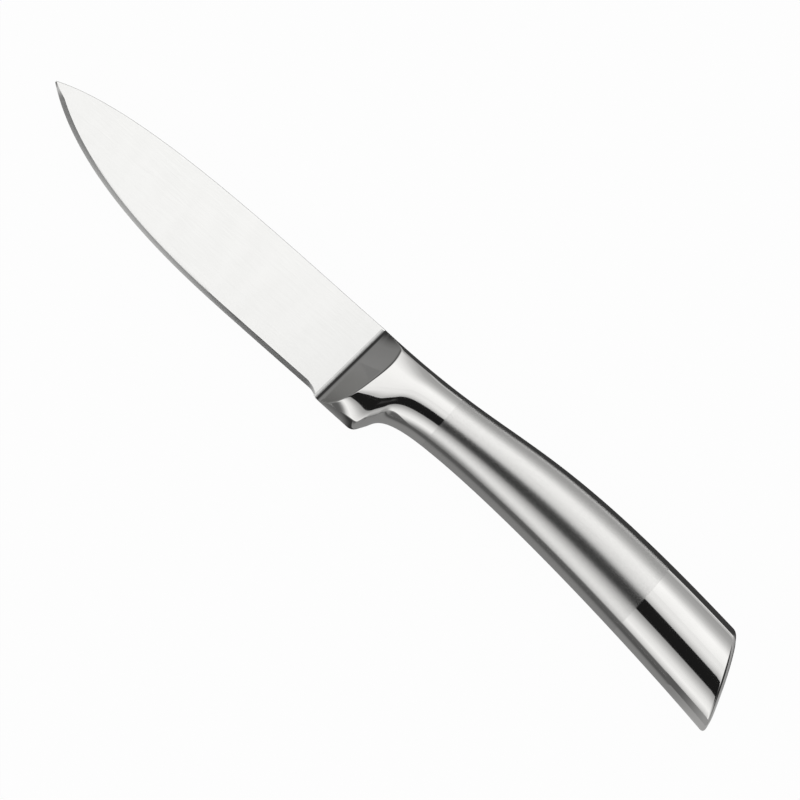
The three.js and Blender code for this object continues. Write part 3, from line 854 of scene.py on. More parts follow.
@dataclass(frozen=True)
class HandleSteel(Finish):
    """Polished steel of the handle, with fine hairlines, and a satin zone between two planes across it."""

    name: str
    satin_from: float
    satin_to: float
    polished: tuple[float, float, float] = (0.8, 0.793, 0.777)
    satin: tuple[float, float, float] = (0.77, 0.763, 0.748)
    polished_roughness: float = 0.045
    satin_roughness: float = 0.19
    border: float = 0.00025
    speckle: Mottle = Mottle(5200, detail=3)
    smudges: Mottle = Mottle(90, (1, 1.6, 1.6), 4)
    hairlines: Mottle = Mottle(2600, (0.03, 1, 1))
    hairline_range: tuple[float, float] = (0.66, 0.74)
    polished_dip: float = 0.97
    satin_dip: float = 0.9
    smudge_rough: float = 0.02
    hairline_rough: float = 0.05
    speckle_rough: float = 0.1
    hairline_height: float = 0.02
    relief: tuple[float, float] = (0.1, 0.00002)

    def sockets(self, nodes: Nodes) -> dict[str, Any]:
        """Give the shader's inputs."""
        x = nodes.coordinate("X")
        edge = self.border / 2
        begun = x.between(self.satin_from - edge, self.satin_from + edge)
        ended = x.between(self.satin_to - edge, self.satin_to + edge)
        zone = begun - begun * ended
        speckle = nodes.noise(self.speckle)
        smudges = nodes.noise(self.smudges)
        hairlines = nodes.noise(self.hairlines).between(*self.hairline_range)
        dull_polish = [c * self.polished_dip for c in self.polished]
        dull_satin = [c * self.satin_dip for c in self.satin]
        polished = nodes.tint(smudges.between(*MIDDLE_NOISE), dull_polish, self.polished)
        satin = nodes.tint(speckle.between(*MIDDLE_NOISE), dull_satin, self.satin)
        colour = nodes.tint(zone, polished, satin)
        mirror_rough = self.polished_roughness + smudges * self.smudge_rough
        mirror_rough = mirror_rough + hairlines * self.hairline_rough
        satin_rough = self.satin_roughness + (speckle - 0.5) * self.speckle_rough
        height = zone * speckle + (1 - zone) * hairlines * self.hairline_height
        return {
            "Base Color": colour,
            "Metallic": 1.0,
            "Roughness": mirror_rough + zone * (satin_rough - mirror_rough),
            "Normal": nodes.bump(height, *self.relief),
        }


@dataclass(frozen=True)
class WeldSteel(Finish):
    """Dressed filler metal of the beads beside the blade, with faint ripples, in greys darker than the
    blade's: painted shade in the crease where the blade meets the bolster, partly the weld's own duller tone.
    """

    name: str = "dressed_weld_painted_shade"
    # Greys well below the blade's: they paint the soft shade of the crease at the blade joint, on top of the
    # weld's own duller tone.
    dark: tuple[float, float, float] = (0.62, 0.62, 0.61)
    light: tuple[float, float, float] = (0.78, 0.78, 0.77)
    roughness: float = 0.2
    ripple_rough: float = 0.2
    ripples: Mottle = Mottle(1600, (0.4, 1, 0.4))
    clouds: Mottle = Mottle(300)
    relief: tuple[float, float] = (0.2, 0.00003)

    def sockets(self, nodes: Nodes) -> dict[str, Any]:
        """Give the shader's inputs."""
        ripples = nodes.noise(self.ripples)
        clouds = nodes.noise(self.clouds)
        tone = (ripples * 0.5 + clouds * 0.5).between(*WIDE_NOISE)
        return {
            "Base Color": nodes.tint(tone, self.dark, self.light),
            "Metallic": 1.0,
            "Roughness": self.roughness + (ripples - 0.5) * self.ripple_rough,
            "Normal": nodes.bump(ripples, *self.relief),
        }


@dataclass(frozen=True)
class Resin(Finish):
    """Cast resin that holds the tang, with cloudy tints and small bubbles. It is hidden in the grip."""

    name: str = "cast_resin"
    dark: tuple[float, float, float] = (0.18, 0.11, 0.045)
    light: tuple[float, float, float] = (0.3, 0.2, 0.09)
    clouds: Mottle = Mottle(240, detail=4)
    bubbles: Mottle = Mottle(1800, detail=0)
    bubble_range: tuple[float, float] = (0.68, 0.75)
    roughness: float = 0.45
    bubble_rough: float = 0.3
    relief: tuple[float, float] = (0.3, 0.0001)

    def sockets(self, nodes: Nodes) -> dict[str, Any]:
        """Give the shader's inputs."""
        clouds = nodes.noise(self.clouds)
        bubbles = nodes.noise(self.bubbles).between(*self.bubble_range)
        return {
            "Base Color": nodes.tint(clouds.between(*WIDE_NOISE), self.dark, self.light),
            "Roughness": self.roughness + bubbles * self.bubble_rough,
            "Normal": nodes.bump(1 - bubbles, *self.relief),
        }


@dataclass
class BladePiece:
    """The blade: a flat-sided wedge whose thickness follows a rule, with a sharpened strip and a tang."""

    form: HandleForm
    placing: KnifeFrame
    length: float = 90.0
    tip_height: float = 13.1
    tip_blunt: float = 0.4
    spine_thickness: float = 1.8
    tip_thickness: float = 0.6
    shoulder_thickness: float = 0.5
    strip_width: float = 1.1
    strip_end_width: float = 0.3
    strip_run_out: float = 4.0
    edge_straight: float = 22.0
    edge_rise: float = 0.2
    choil_length: float = 2.7
    choil_pull: float = 1.1
    edge_tip_pull: tuple[float, float] = (19.5, -14.4)
    edge_straight_pull: float = 12.3
    spine_tip_pull: tuple[float, float] = (19.6, 9.0)
    spine_root_pull: tuple[float, float] = (-26.0, -0.5)
    joint_fit: float = 0.05
    spine_rounding: float = 0.2
    tang_length: float = 46.0
    tang_height: float = 7.5
    tang_bottom: float = 10.2
    tang_thickness: float = 1.0
    hole_radius: float = 1.8
    holes_at: tuple[float, float] = (36.0, 41.0)
    columns: int = 420
    tip_crowding: float = 0.75
    strip_most: float = 0.7
    rounding_most: float = 0.1
    strip_steps: int = 6
    body_steps: int = 29
    round_steps: int = 5
    drill_sides: int = 48
    drill_depth: float = 4.0
    merge_distance: float = 0.0001
    least_step: float = 1e-9
    crease: float = math.radians(6)

    STRIP = "strip_share"
    TO_SPINE = "to_spine"
    BODY_SHARE = "body_share"

    @property
    def edge_taper(self) -> float:
        """Give half the thickness gained for each millimetre above the sharpened strip."""
        gain = (self.spine_thickness - self.shoulder_thickness) / 2
        return gain / (self.form.blade_height - self.strip_width)

    @property
    def tip_taper(self) -> float:
        """Give half the thickness gained for each millimetre towards the heel."""
        tip_half = self.shoulder_thickness / 2 + self.edge_taper * (self.tip_height - self.strip_width)
        return (tip_half - self.tip_thickness / 2) / self.length

    def half_at(self, x: np.ndarray, y: np.ndarray) -> np.ndarray:
        """Give half the thickness between the flat sides."""
        return self.shoulder_thickness / 2 + self.edge_taper * (y - self.strip_width) + self.tip_taper * x

    def edge(self) -> np.ndarray:
        """Give dense points of the cutting edge, from the tip to the heel."""
        tip = point(-self.length, self.tip_height - self.tip_blunt / 2)
        straight = point(-self.edge_straight, 0)
        choil = point(-self.choil_length, self.edge_rise)
        end = point(-self.joint_fit, -self.form.heel_drop)
        bend = choil + point(self.choil_pull, 0)
        curved = reaching(tip, point(*self.edge_tip_pull), point(-self.edge_straight_pull, 0), straight)
        return np.vstack([self.form.dense(curved), self.form.dense([choil, bend, end])])

    def spine(self) -> np.ndarray:
        """Give dense points of the spine, from the tip to the bolster."""
        tip = point(-self.length, self.tip_height + self.tip_blunt / 2)
        root = self.form.root - point(self.joint_fit, 0)
        return self.form.dense(reaching(tip, point(*self.spine_tip_pull), point(*self.spine_root_pull), root))

    def outline_columns(self) -> tuple[list[np.ndarray], list[np.ndarray], list[np.ndarray]]:
        """Give the columns of the blade's flat grid, from the tip to the heel.

        Returns:
            Points of the knife's frame, shares of the way up the sharpened strip, and distances in metres
            below the spine.
        """
        edge, spine = self.edge(), self.spine()
        shares = 0.5 - 0.5 * np.cos(np.pi * np.linspace(0, 1, self.columns) ** self.tip_crowding)
        shares = np.concatenate([[0.0], shares, [1.0]])
        low_x = -self.length + shares * (self.length + edge[-1, 0])
        high_x = -self.length + shares * (self.length + spine[-1, 0])
        low_y = np.interp(low_x, edge[:, 0], edge[:, 1])
        high_y = np.interp(high_x, spine[:, 0], spine[:, 1])
        slope = np.gradient(edge[:, 1]) / np.maximum(np.gradient(edge[:, 0]), self.least_step)
        steep = np.sqrt(1 + np.interp(low_x, edge[:, 0], slope) ** 2)
        to_end = np.minimum(low_x + self.length, edge[-1, 0] - low_x)
        run_out = np.clip(to_end / self.strip_run_out, 0, 1)
        width = self.strip_end_width + (self.strip_width - self.strip_end_width) * run_out
        height = high_y - low_y
        strip = np.minimum(width * steep / height, self.strip_most)
        rounding = np.minimum(self.spine_rounding / height, self.rounding_most)
        rows, strip_rows, spine_rows = [], [], []
        strip_cut = np.linspace(0, 1, self.strip_steps + 1)
        body_cut = np.linspace(0, 1, self.body_steps + 1)
        round_cut = 1 - np.cos(np.linspace(0, np.pi / 2, self.round_steps + 1))
        for column in range(len(shares)):
            body = strip[column] + body_cut[1:] * (1 - rounding[column] - strip[column])
            top = 1 - rounding[column] * (1 - round_cut[1:])
            ups = np.concatenate([strip_cut * strip[column], body, top[:-1], [1.0, 1.0]])
            x = low_x[column] + ups * (high_x[column] - low_x[column])
            rows.append(np.column_stack([x, low_y[column] + ups * height[column], np.zeros_like(x)]))
            strip_rows.append(np.minimum(ups / strip[column], 1))
            spine_rows.append((1 - ups) * height[column] * MILLIMETRE)
        return rows, strip_rows, spine_rows

    def outline_mesh(self) -> bpy.types.Mesh:
        """Make the flat grid that the wedge rule works on.

        Returns:
            A mesh in the middle plane, between edge and spine, with the distances that the rule needs.
        """
        rows, strip_rows, spine_rows = self.outline_columns()
        count = len(rows[0])
        inside = np.ones((len(rows), count))
        inside[[0, -1], :] = 0
        inside[:, -1] = 0
        grid = np.arange(len(rows) * count).reshape(len(rows), count)
        quads = np.stack([grid[:-1, :-1], grid[1:, :-1], grid[1:, 1:], grid[:-1, 1:]], axis=-1)
        mesh = bpy.data.meshes.new("blade_outline")
        places = self.placing.place(np.vstack(rows))
        mesh.from_pydata(places.tolist(), [], quads.reshape(-1, 4).tolist())
        layers = {self.STRIP: strip_rows, self.TO_SPINE: spine_rows, self.BODY_SHARE: inside}
        for name, values in layers.items():
            layer = mesh.attributes.new(name, "FLOAT", "POINT")
            layer.data.foreach_set("value", np.concatenate(values).astype(np.float32))
        return mesh

    def wedge(self, rule: GeometryRule) -> Value:
        """Add the flat outline's thickness to a rule: two sides, closed at edge, spine and ends."""
        flat = rule.socket("Outline", "NodeSocketGeometry")
        names = ("Shoulder Half", "Edge Taper", "Tip Taper", "Spine Rounding")
        shoulder, edge_taper, tip_taper, rounding = (rule.socket(name, "NodeSocketFloat") for name in names)
        heel = rule.socket("Heel", "NodeSocketVector")
        position = rule.add("GeometryNodeInputPosition", {}, {})
        from_heel = rule.add("ShaderNodeVectorMath", {"operation": "SUBTRACT"}, {0: position, 1: heel})
        x, y = (rule.add("ShaderNodeSeparateXYZ", {}, {0: from_heel}, axis) for axis in "XY")
        strip, to_spine, inside = (rule.attribute(n) for n in (self.STRIP, self.TO_SPINE, self.BODY_SHARE))
        slab = shoulder + edge_taper * y + tip_taper * x
        short = (rounding - to_spine).at_least(0.0)
        fall = rounding - (rounding * rounding - short * short).at_least(0.0).root()
        half = (slab - fall) * strip * inside
        sides = []
        for sign in (1, -1):
            lift = rule.add("ShaderNodeCombineXYZ", {}, {"Z": half * sign})
            sides.append(rule.add("GeometryNodeSetPosition", {}, {"Geometry": flat, "Offset": lift}))
        sides[1] = rule.add("GeometryNodeFlipFaces", {}, {"Mesh": sides[1]})
        near = self.merge_distance * MILLIMETRE
        return rule.add("GeometryNodeMergeByDistance", {}, {"Geometry": rule.join(sides), "Distance": near})

    def tang(self, rule: GeometryRule) -> Value:
        """Add the tang with its row of holes to a rule."""
        names = ("Tang Size", "Tang Middle", "First Hole", "Hole Step")
        size, middle, first, step = (rule.socket(name, "NodeSocketVector") for name in names)
        radius = rule.socket("Hole Radius", "NodeSocketFloat")
        bar = rule.add("GeometryNodeMeshCube", {}, {"Size": size})
        bar = rule.add("GeometryNodeTransform", {}, {"Geometry": bar, "Translation": middle})
        depth = self.drill_depth * MILLIMETRE
        drill_sizes = {"Vertices": self.drill_sides, "Radius": radius, "Depth": depth}
        drill = rule.add("GeometryNodeMeshCylinder", {}, drill_sizes)
        line = {"Count": len(self.holes_at), "Start Location": first, "Offset": step}
        places = rule.add("GeometryNodeMeshLine", {"mode": "OFFSET"}, line)
        drills = rule.add("GeometryNodeInstanceOnPoints", {}, {"Points": places, "Instance": drill})
        drills = rule.add("GeometryNodeRealizeInstances", {}, {"Geometry": drills})
        meshes = {"Mesh 1": bar, "Mesh 2": drills}
        return rule.add("GeometryNodeMeshBoolean", {"operation": "DIFFERENCE"}, meshes)

    def wedge_rule(self) -> bpy.types.NodeTree:
        """Make the tree that gives the flat outline its thickness, and adds the tang with its holes."""
        rule = GeometryRule("blade_wedge")
        whole = rule.join([self.wedge(rule), self.tang(rule)])
        steel = rule.socket("Steel", "NodeSocketMaterial")
        real = rule.add("GeometryNodeRealizeInstances", {}, {"Geometry": whole})
        return rule.close(rule.add("GeometryNodeSetMaterial", {}, {"Geometry": real, "Material": steel}))

    def build(self, steel: bpy.types.Material) -> bpy.types.Object:
        """Build the blade.

        Args:
            steel: Its finish.

        Returns:
            The finished piece.
        """
        tang_rear = self.tang_length
        tang_front = float(self.form.root[0])
        tang_middle_y = self.tang_bottom + self.tang_height / 2
        hole_step = (self.holes_at[1] - self.holes_at[0]) * MILLIMETRE
        tang_size = np.array([tang_rear - tang_front, self.tang_height, self.tang_thickness])
        sizes = {
            "Shoulder Half": self.shoulder_thickness / 2 * MILLIMETRE,
            "Edge Taper": self.edge_taper,
            "Tip Taper": self.tip_taper,
            "Heel": self.placing.spot(0.0, self.strip_width),
            "Spine Rounding": self.spine_rounding * MILLIMETRE,
            "Tang Size": tang_size * MILLIMETRE,
            "Tang Middle": self.placing.spot((tang_front + tang_rear) / 2, tang_middle_y),
            "Hole Radius": self.hole_radius * MILLIMETRE,
            "First Hole": self.placing.spot(self.holes_at[0], tang_middle_y),
            "Hole Step": (hole_step, 0.0, 0.0),
            "Steel": steel,
        }
        mesh = GeometryRule.apply(self.outline_mesh(), self.wedge_rule(), sizes)
        mesh.name = "wedge_blade"
        return show("wedge_blade", mesh, self.crease)


@dataclass
class BolsterPiece:
    """The bolster: heel, finger notch and neck in one loft, with ramped cheeks that meet the blade."""

    form: HandleForm
    placing: KnifeFrame
    blade: BladePiece
    cheek_lead: float = 0.8
    cheek_fillet: float = 2.8
    heel_slope: float = 1.6
    spine_slope: float = 0.46
    slope_bend: float = 0.9
    cheek_rounding: float = 0.3
    spigot_length: float = 7.0
    plug_depth: float = 1.3
    bead_from: float = -0.4
    bead_to: float = 20.7
    bead_fit: float = 0.006
    bead_steps: int = 10
    bead_stations: int = 24
    run_steps: tuple[int, ...] = (95, 24, 24, 90)
    spigot_steps: int = 5
    crease: float = math.radians(35)

    def shares(self) -> np.ndarray:
        """Give the shares of the underside's length at which the bolster has stations."""
        lengths = [np.linalg.norm(np.diff(run, axis=0), axis=1).sum() for run in self.form.underside_runs()]
        ends = np.concatenate([[0.0], np.cumsum(lengths)]) / sum(lengths)
        cuts = [np.linspace(a, b, n, endpoint=False) for a, b, n in zip(ends, ends[1:], self.run_steps)]
        return np.concatenate([*cuts, [1.0]])

    def cheek_height(self, points: np.ndarray) -> np.ndarray:
        """Give the height of the left cheek's ramp over the middle plane.

        Args:
            points: Points of the knife's frame.

        Returns:
            The ramp's height at each point of the side view.
        """
        x, y = points[:, 0], points[:, 1]
        lean = self.form.joint_slope
        behind = (x - lean * (y + self.form.heel_drop)) / math.hypot(1, lean) + self.cheek_lead
        share = (y + self.form.heel_drop) / (self.form.blade_height + self.form.heel_drop)
        down = np.clip(1 - share, 0, 1) ** self.slope_bend
        slope = self.spine_slope + (self.heel_slope - self.spine_slope) * down
        foot = np.clip(behind, 0, self.cheek_fillet * slope / np.hypot(1, slope))
        curved = self.cheek_fillet - np.sqrt(self.cheek_fillet**2 - foot**2)
        straight = np.maximum(behind - foot, 0) * slope
        return self.blade.half_at(x, y) + curved + straight

    def build(self) -> bpy.types.Object:
        """Build the bolster with its spigot, and give the finished piece."""
        rings = []
        for place in self.form.bolster_stations(self.shares()):
            ring = self.form.ring(place)
            limit = self.cheek_height(ring)
            ring[:, 2] = np.sign(ring[:, 2]) * soft_least(np.abs(ring[:, 2]), limit, self.cheek_rounding)
            rings.append(ring)
        for place in self.form.grip_stations(np.linspace(0, self.spigot_length, self.spigot_steps)):
            rings.append(self.form.ring(place, self.plug_depth))
        return Piece("polished_bolster", rings).finish(self.placing, self.crease)

    def bead(self, name: str, side: int) -> bpy.types.Object:
        """Build the dressed weld that leads from the blade's side up to the cheek.

        Args:
            name: Of the piece.
            side: 1 for the left bead and -1 for the right one.

        Returns:
            The finished piece.
        """
        lean = self.form.joint_slope
        shares = np.linspace(0, 1, self.bead_steps + 1)
        rings = []
        for y in np.linspace(self.bead_from, self.bead_to, self.bead_stations):
            joint = lean * (y + self.form.heel_drop)
            flat = np.column_stack([joint - self.cheek_lead * (1 - shares), np.full_like(shares, y)])
            under = self.blade.half_at(flat[:, 0], flat[:, 1]) + self.bead_fit
            over = np.maximum(self.cheek_height(flat), under + self.bead_fit)
            ring = np.vstack([np.column_stack([flat, over]), np.column_stack([flat, under])[::-1]])
            ring[:, 2] *= side
            rings.append(ring)
        return Piece(name, rings).finish(self.placing, self.crease)


@dataclass
class GripPieces:
    """The hollow grip: two shells, the two seams and two rings of filler metal, and the domed butt cap."""

    form: HandleForm
    placing: KnifeFrame
    wall: float = 1.0
    seam_width: float = 1.2
    cap_thickness: float = 2.2
    cap_rim: float = 1.1
    cap_dome: float = 0.6
    cap_dome_reach: float = 3.5
    lip_length: float = 3.5
    lip_wall: float = 1.2
    fit: float = 0.3
    stations: int = 170
    seam_steps: int = 8
    ring_steps: int = 5
    rim_steps: int = 12
    dome_steps: int = 12
    crease: float = math.radians(35)

    @property
    def cap_joint(self) -> float:
        """Give the distance behind the bolster at which the cap starts."""
        return self.form.grip_length - self.cap_thickness

    def run(self) -> list[Station]:
        """Give the stations of the shells and of the seams between them."""
        distances = np.linspace(self.seam_width, self.cap_joint - self.seam_width, self.stations)
        return self.form.grip_stations(distances)

    def shell(self, name: str, side: int) -> bpy.types.Object:
        """Build one shell.

        Args:
            name: Of the piece.
            side: 1 for the left shell and -1 for the right one.

        Returns:
            The finished piece.
        """
        rings = []
        for place in self.run():
            outer = self.form.half_outline(place, 0.0, self.seam_width / 2)
            inner = self.form.half_outline(place, self.wall, self.seam_width / 2, Grain.PLAIN)
            ring = place.put(np.vstack([outer, inner[::-1]]))
            ring[:, 2] *= side
            rings.append(ring)
        return Piece(name, rings).finish(self.placing, self.crease)

    def seam(self, name: str, on_spine: bool) -> bpy.types.Object:
        """Build the weld between the shells, along the spine or along the belly."""
        half = self.seam_width / 2
        rings = []
        for place in self.run():
            rim = place.section.spine if on_spine else place.section.belly
            strips = []
            for depth in (0.0, self.wall):
                radius = rim.radius - depth
                reach = math.asin(half / radius)
                turns = np.linspace(-reach, reach, self.seam_steps + 1)
                fall = rim.radius - radius * np.cos(turns)
                height = place.height - fall if on_spine else fall
                strips.append(np.column_stack([height, radius * np.sin(turns)]))
            rings.append(place.put(np.vstack([strips[0], strips[1][::-1]])))
        return Piece(name, rings).finish(self.placing, self.crease)

    def ring(self, name: str, start: float, end: float) -> bpy.types.Object:
        """Build the weld round the whole section, from one distance behind the bolster to another."""
        places = self.form.grip_stations(np.linspace(start, end, self.ring_steps))
        outer = [self.form.ring(place) for place in places]
        inner = [self.form.ring(place, self.wall) for place in places[::-1]]
        return Piece(name, [*outer, *inner], endless=True).finish(self.placing, self.crease)

    def cap(self, name: str) -> bpy.types.Object:
        """Build the cap: a lip that plugs into the shells, a rounded rim and a domed middle."""
        inside = self.wall + self.fit
        lip_inside = inside + self.lip_wall
        lip_end = self.cap_joint - self.lip_length
        length = self.form.grip_length
        turns = np.linspace(0, math.pi / 2, self.rim_steps + 1)
        profile = [
            (self.cap_joint, self.cap_rim + self.cap_dome_reach),
            (self.cap_joint, lip_inside),
            (lip_end, lip_inside),
            (lip_end, inside),
            (self.cap_joint, inside),
            (self.cap_joint, 0.0),
            *((length - self.cap_rim * (1 - math.sin(t)), self.cap_rim * (1 - math.cos(t))) for t in turns),
        ]
        distances = np.array([distance for distance, _ in profile])
        places = self.form.grip_stations(distances)
        rings = [self.form.ring(place, depth) for place, (_, depth) in zip(places, profile)]
        end = places[-1]
        outwards = np.array([end.up[1], -end.up[0], 0.0])
        for share in np.linspace(0, 1, self.dome_steps + 1)[1:]:
            rise = self.cap_dome * (1 - (1 - share) ** 2)
            rings.append(self.form.ring(end, self.cap_rim + self.cap_dome_reach * share) + outwards * rise)
        return Piece(name, rings).finish(self.placing, self.crease)

    def dress_all(self, steel: bpy.types.Material) -> None:
        """Build every piece of the grip and give it its finish."""
        rear = self.cap_joint - self.seam_width
        dress(self.shell("grip_shell_left", 1), steel, Slot.GRIP, "handle_shell_left")
        dress(self.shell("grip_shell_right", -1), steel, Slot.GRIP, "handle_shell_right")
        dress(self.seam("spine_seam", True), steel, Slot.GRIP, "spine_seam_weld")
        dress(self.seam("belly_seam", False), steel, Slot.GRIP, "belly_seam_weld")
        dress(self.ring("front_ring", 0.0, self.seam_width), steel, Slot.WELD, "bolster_ring_weld")
        dress(self.ring("rear_ring", rear, self.cap_joint), steel, Slot.WELD, "butt_ring_weld")
        dress(self.cap("domed_cap"), steel, Slot.POLISHED, "butt_cap")


def sheet(name: str, corners: Sequence[tuple[float, float, float]]) -> bpy.types.Object:
    """Add an object of one four-sided face."""
    mesh = bpy.data.meshes.new(name)
    mesh.from_pydata(corners, [], [(0, 1, 2, 3)])
    thing = bpy.data.objects.new(name, mesh)
    bpy.context.scene.collection.objects.link(thing)
    return thing


def even(level: float) -> tuple[tuple[float, float], ...]:
    """Give the stops of one level all the way."""
    return ((0.0, level), (1.0, level))


@dataclass(frozen=True)
class Card:
    """A card of the studio that only the steel's reflections show.

    Its x and fade are in the knife's frame, in millimetres, and its y and z in the row frame, in metres.
    Its levels are shares of the way across it, each with how bright the card is there. Along the knife it
    fades to another level.
    """

    name: str
    x: tuple[float, float]
    y: tuple[float, float]
    z: tuple[float, float]
    levels: tuple[tuple[float, float], ...]
    fade: tuple[float, float] = (8000.0, 9000.0)
    fade_level: float = 0.5

    def build(self, placing: KnifeFrame) -> None:
        """Build the card."""
        x = [placing.across(end) for end in self.x]
        corners = [(x[i], self.y[j], self.z[j]) for i, j in ((0, 0), (1, 0), (1, 1), (0, 1))]
        card = sheet(self.name, corners)
        material, nodes = new_material(self.name)
        share = (nodes.coordinate("Y") - self.y[0]) * (1 / (self.y[1] - self.y[0]))
        faded = nodes.coordinate("X").between(*(placing.across(end) for end in self.fade))
        level = nodes.tint(faded, nodes.ramp(share, self.levels), [self.fade_level] * 3)
        nodes.close(nodes.add("ShaderNodeEmission", {}, {"Color": level, "Strength": 1.0}))
        card.data.materials.append(material)
        for ray in ("camera", "diffuse", "transmission", "volume_scatter", "shadow"):
            setattr(card, f"visible_{ray}", False)


@dataclass(frozen=True)
class TentEnd:
    """Grey levels at one end of the tent, by a direction's height, blended in over its x and y."""

    levels: tuple[tuple[float, float], ...]
    x: tuple[float, float]
    y: tuple[tuple[float, float], ...] = ()

    def share(self, x: Value, y: Value) -> Value:
        """Give how far the end has taken over in a direction."""
        share = x.between(*self.x)
        for ends in self.y:
            share = share * y.between(*ends)
        return share


@dataclass
class Studio:
    """Floor, soft light, reflection cards and camera."""

    placing: KnifeFrame
    floor_half: float = 3.0
    floor_shade: float = 0.93
    floor_glow: float = 0.97
    paper: Mottle = Mottle(700, detail=3)
    paper_range: float = 0.01
    camera_distance: float = 0.9
    camera_tilt: float = math.radians(6)
    camera_turn: float = math.radians(42)
    view_width: float = 177.8
    view_middle: tuple[float, float] = (14.2, 11.7)
    sensor: float = 36.0
    tent_strength: float = 1.18

    TENT_LEVELS = (
        (-90, 0.11), (-72, 0.11), (-66, 0.15), (-60, 0.32), (-54, 0.7), (-48, 0.95), (-40, 0.8),
        (-30, 0.42), (-26, 0.32), (-25.5, 0.01), (-5.5, 0.01), (-5, 0.85), (14, 0.9), (30, 0.98),
        (40, 1.0), (48, 0.84), (58, 0.58), (70, 0.4), (80, 0.36), (85, 0.34), (86, 0.5), (89.5, 0.5),
        (90, 0.32),
    )
    TIP_LEVELS = (
        (0.0, 0.22), (0.34, 0.195), (0.42, 0.15), (0.5, 0.08), (0.56, 0.035), (0.78, 0.035), (0.88, 0.3),
        (0.95, 0.62), (0.99, 0.86),
    )
    RIM_LEVELS = ((0.0, 0.22), (0.34, 0.2), (0.55, 0.6), (0.75, 0.95))
    NOTCH_LEVELS = ((0.0, 0.3), (0.5, 0.36), (0.9, 0.6))
    BUTT_LEVELS = ((0.0, 0.32), (0.15, 0.28), (0.25, 0.03), (0.88, 0.03), (0.95, 0.5))
    ENDS = (
        TentEnd(RIM_LEVELS, x=(-0.35, -0.6)),
        TentEnd(TIP_LEVELS, x=(-0.35, -0.6), y=((0.05, 0.25),)),
        TentEnd(TIP_LEVELS, x=(-0.1, -0.3), y=((-0.3, -0.15), (0.3, 0.15))),
        TentEnd(NOTCH_LEVELS, x=(0.5, 0.75)),
        TentEnd(BUTT_LEVELS, x=(0.25, 0.42), y=((-0.3, -0.05),)),
    )
    LAID = (0.0002, 0.0002)
    LAID_OVER = (0.0004, 0.0004)
    HUNG = (0.6, 0.6)
    BUTT_FADE = (101, 112)
    BELLY_LEVELS = ((0, 0.11), (0.98, 0.11), (0.99, 0.28), (0.99625, 0.26), (1, 0.14))
    CAP_LEVELS = ((0, 0.28), (1, 0.27))
    HEEL_LEVELS = ((0, 0.1), (0.5, 0.1), (0.75, 0.16), (0.95, 0.26))
    SCRIM_LEVELS = ((0, 0.52), (0.16, 0.72), (0.33, 0.9), (0.49, 1.0), (1, 1.0))
    CARDS = (
        Card("spine_card", (0, 117), (0.001, 0.25), LAID, even(0.05), (108, 117), fade_level=0.36),
        Card("belly_card", (0, 1612), (-2.4, 0.001), LAID, BELLY_LEVELS),
        Card("butt_card", (100, 150), (-0.05, 0.001), LAID_OVER, CAP_LEVELS, BUTT_FADE, fade_level=0.42),
        Card("butt_wall", (98, 170), (-0.05, -0.0501), (0, 0.04), even(0.12), BUTT_FADE, fade_level=0.34),
        Card("rim_card", (117, 700), (-0.3, 0.3), LAID, even(0.36)),
        Card("blade_card", (-3188, 0), (-1.6, 1.6), LAID, even(0.22)),
        Card("heel_card", (-2, 13), (-0.06, -0.01), LAID_OVER, HEEL_LEVELS, (7, 10.2), fade_level=0.04),
        Card("handle_scrim", (-40, 220), (-0.0525, 0.172), HUNG, SCRIM_LEVELS, (0, -12), fade_level=1.0),
    )

    def tent_stops(self) -> list[tuple[float, float]]:
        """Give the tent's levels by shares of the half turn from the belly side over to the spine side."""
        return [(turn / 180 + 0.5, level) for turn, level in self.TENT_LEVELS]

    def floor(self) -> None:
        """Build the pale floor, which keeps a soft shadow."""
        half = self.floor_half
        plane = sheet("floor", [(-half, -half, 0), (half, -half, 0), (half, half, 0), (-half, half, 0)])
        material, nodes = new_material("pale_floor")
        paper = nodes.noise(self.paper).between(*WIDE_NOISE)
        shades = [[self.floor_shade + side * self.paper_range] * 3 for side in (-1, 1)]
        shade = nodes.tint(paper, *shades)
        matt = nodes.add("ShaderNodeBsdfDiffuse", {}, {"Color": shade})
        glow = nodes.add("ShaderNodeEmission", {}, {"Color": (1, 1, 1, 1), "Strength": 1.0})
        rays = ("Is Camera Ray", "Is Glossy Ray", "Is Transmission Ray")
        camera, glossy, clear = (nodes.add("ShaderNodeLightPath", {}, {}, ray) for ray in rays)
        seen = (camera + glossy + clear).between(0.0, 1.0) * self.floor_glow
        nodes.close(nodes.add("ShaderNodeMixShader", {}, {0: seen, 1: matt, 2: glow}))
        plane.data.materials.append(material)

    def light(self) -> None:
        """Set the light tent: a tunnel along the knife, with a dark gap and darker ends."""
        world = bpy.data.worlds.new("light_tent")
        world.use_nodes = True
        bpy.context.scene.world = world
        nodes = Nodes(world.node_tree)
        place = nodes.add("ShaderNodeTexCoord", {}, {}, "Generated")
        x, y, z = (nodes.add("ShaderNodeSeparateXYZ", {}, {0: place}, axis) for axis in "XYZ")
        turn = nodes.add("ShaderNodeMath", {"operation": "ARCTAN2"}, {0: y, 1: z})
        level = nodes.ramp(turn * (1 / math.pi) + 0.5, self.tent_stops())
        for end in self.ENDS:
            level = nodes.tint(end.share(x, y), level, nodes.ramp(z, end.levels))
        tent = nodes.add("ShaderNodeBackground", {}, {"Color": level, "Strength": self.tent_strength})
        white = nodes.add("ShaderNodeBackground", {}, {"Color": (1, 1, 1, 1), "Strength": 1.0})
        seen = nodes.add("ShaderNodeLightPath", {}, {}, "Is Camera Ray")
        mixed = nodes.add("ShaderNodeMixShader", {}, {0: seen, 1: tent, 2: white})
        nodes.close(mixed, "ShaderNodeOutputWorld")

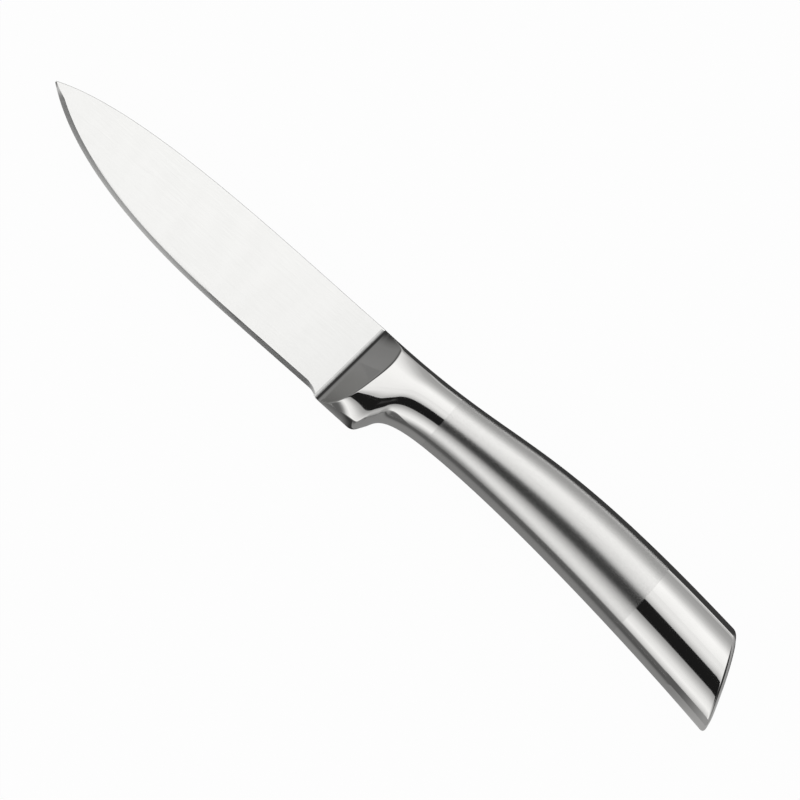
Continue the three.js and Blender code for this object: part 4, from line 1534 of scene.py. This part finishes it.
    def camera(self) -> None:
        """Set the camera over the left face, tilted towards the belly and turned as in the photograph."""
        tilt, turn = self.camera_tilt, self.camera_turn
        knife = Vector((1, 0, 0))
        spine = Vector((0, math.cos(tilt), math.sin(tilt)))
        back = Vector((0, -math.sin(tilt), math.cos(tilt)))
        right = knife * math.cos(turn) + spine * math.sin(turn)
        up = spine * math.cos(turn) - knife * math.sin(turn)
        target = Vector(self.placing.spot(*self.view_middle))
        lens = bpy.data.cameras.new("photo_camera")
        lens.sensor_width = self.sensor
        lens.lens = self.sensor * self.camera_distance / (self.view_width * MILLIMETRE)
        seat = Matrix((right, up, back)).transposed().to_4x4()
        seat.translation = target + back * self.camera_distance
        camera = bpy.data.objects.new("photo_camera", lens)
        camera.matrix_world = seat
        bpy.context.scene.collection.objects.link(camera)
        bpy.context.scene.camera = camera

    def build(self) -> None:
        """Build the whole studio."""
        bpy.context.scene.view_settings.view_transform = "Standard"
        self.floor()
        self.light()
        for card in self.CARDS:
            card.build(self.placing)
        self.camera()


def dress_cad_node(name: str, material: bpy.types.Material) -> None:
    """Give a CAD node that stays a finish."""
    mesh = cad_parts[name].data
    mesh.materials.clear()
    mesh.materials.append(material)
    LOG.info("%s stays, with %s", name, material.name)


def main() -> None:
    """Build the studio and the knife."""
    logging.basicConfig(level=logging.INFO, format="%(name)s: %(message)s")
    form = HandleForm()
    placing = KnifeFrame(BladePiece.length, form.heel_drop)
    Studio(placing).build()
    satin_from = placing.across(form.bolster_length)
    satin_to = placing.across(form.satin_end)
    handle_steel = HandleSteel("handle_steel", satin_from, satin_to).make()
    blade = BladePiece(form, placing)
    blade_steel = GroundSteel().make()
    dress(blade.build(blade_steel), blade_steel, Slot.BLADE, "blade")
    bolster = BolsterPiece(form, placing, blade)
    dress(bolster.build(), handle_steel, Slot.POLISHED, "bolster")
    GripPieces(form, placing).dress_all(handle_steel)
    weld_steel = WeldSteel().make()
    dress(bolster.bead("dressed_bead_left", 1), weld_steel, Slot.WELD, "blade_weld_left")
    dress(bolster.bead("dressed_bead_right", -1), weld_steel, Slot.WELD, "blade_weld_right")
    dress_cad_node("tang_potting", Resin().make())


if __name__ == "__main__":
    main()
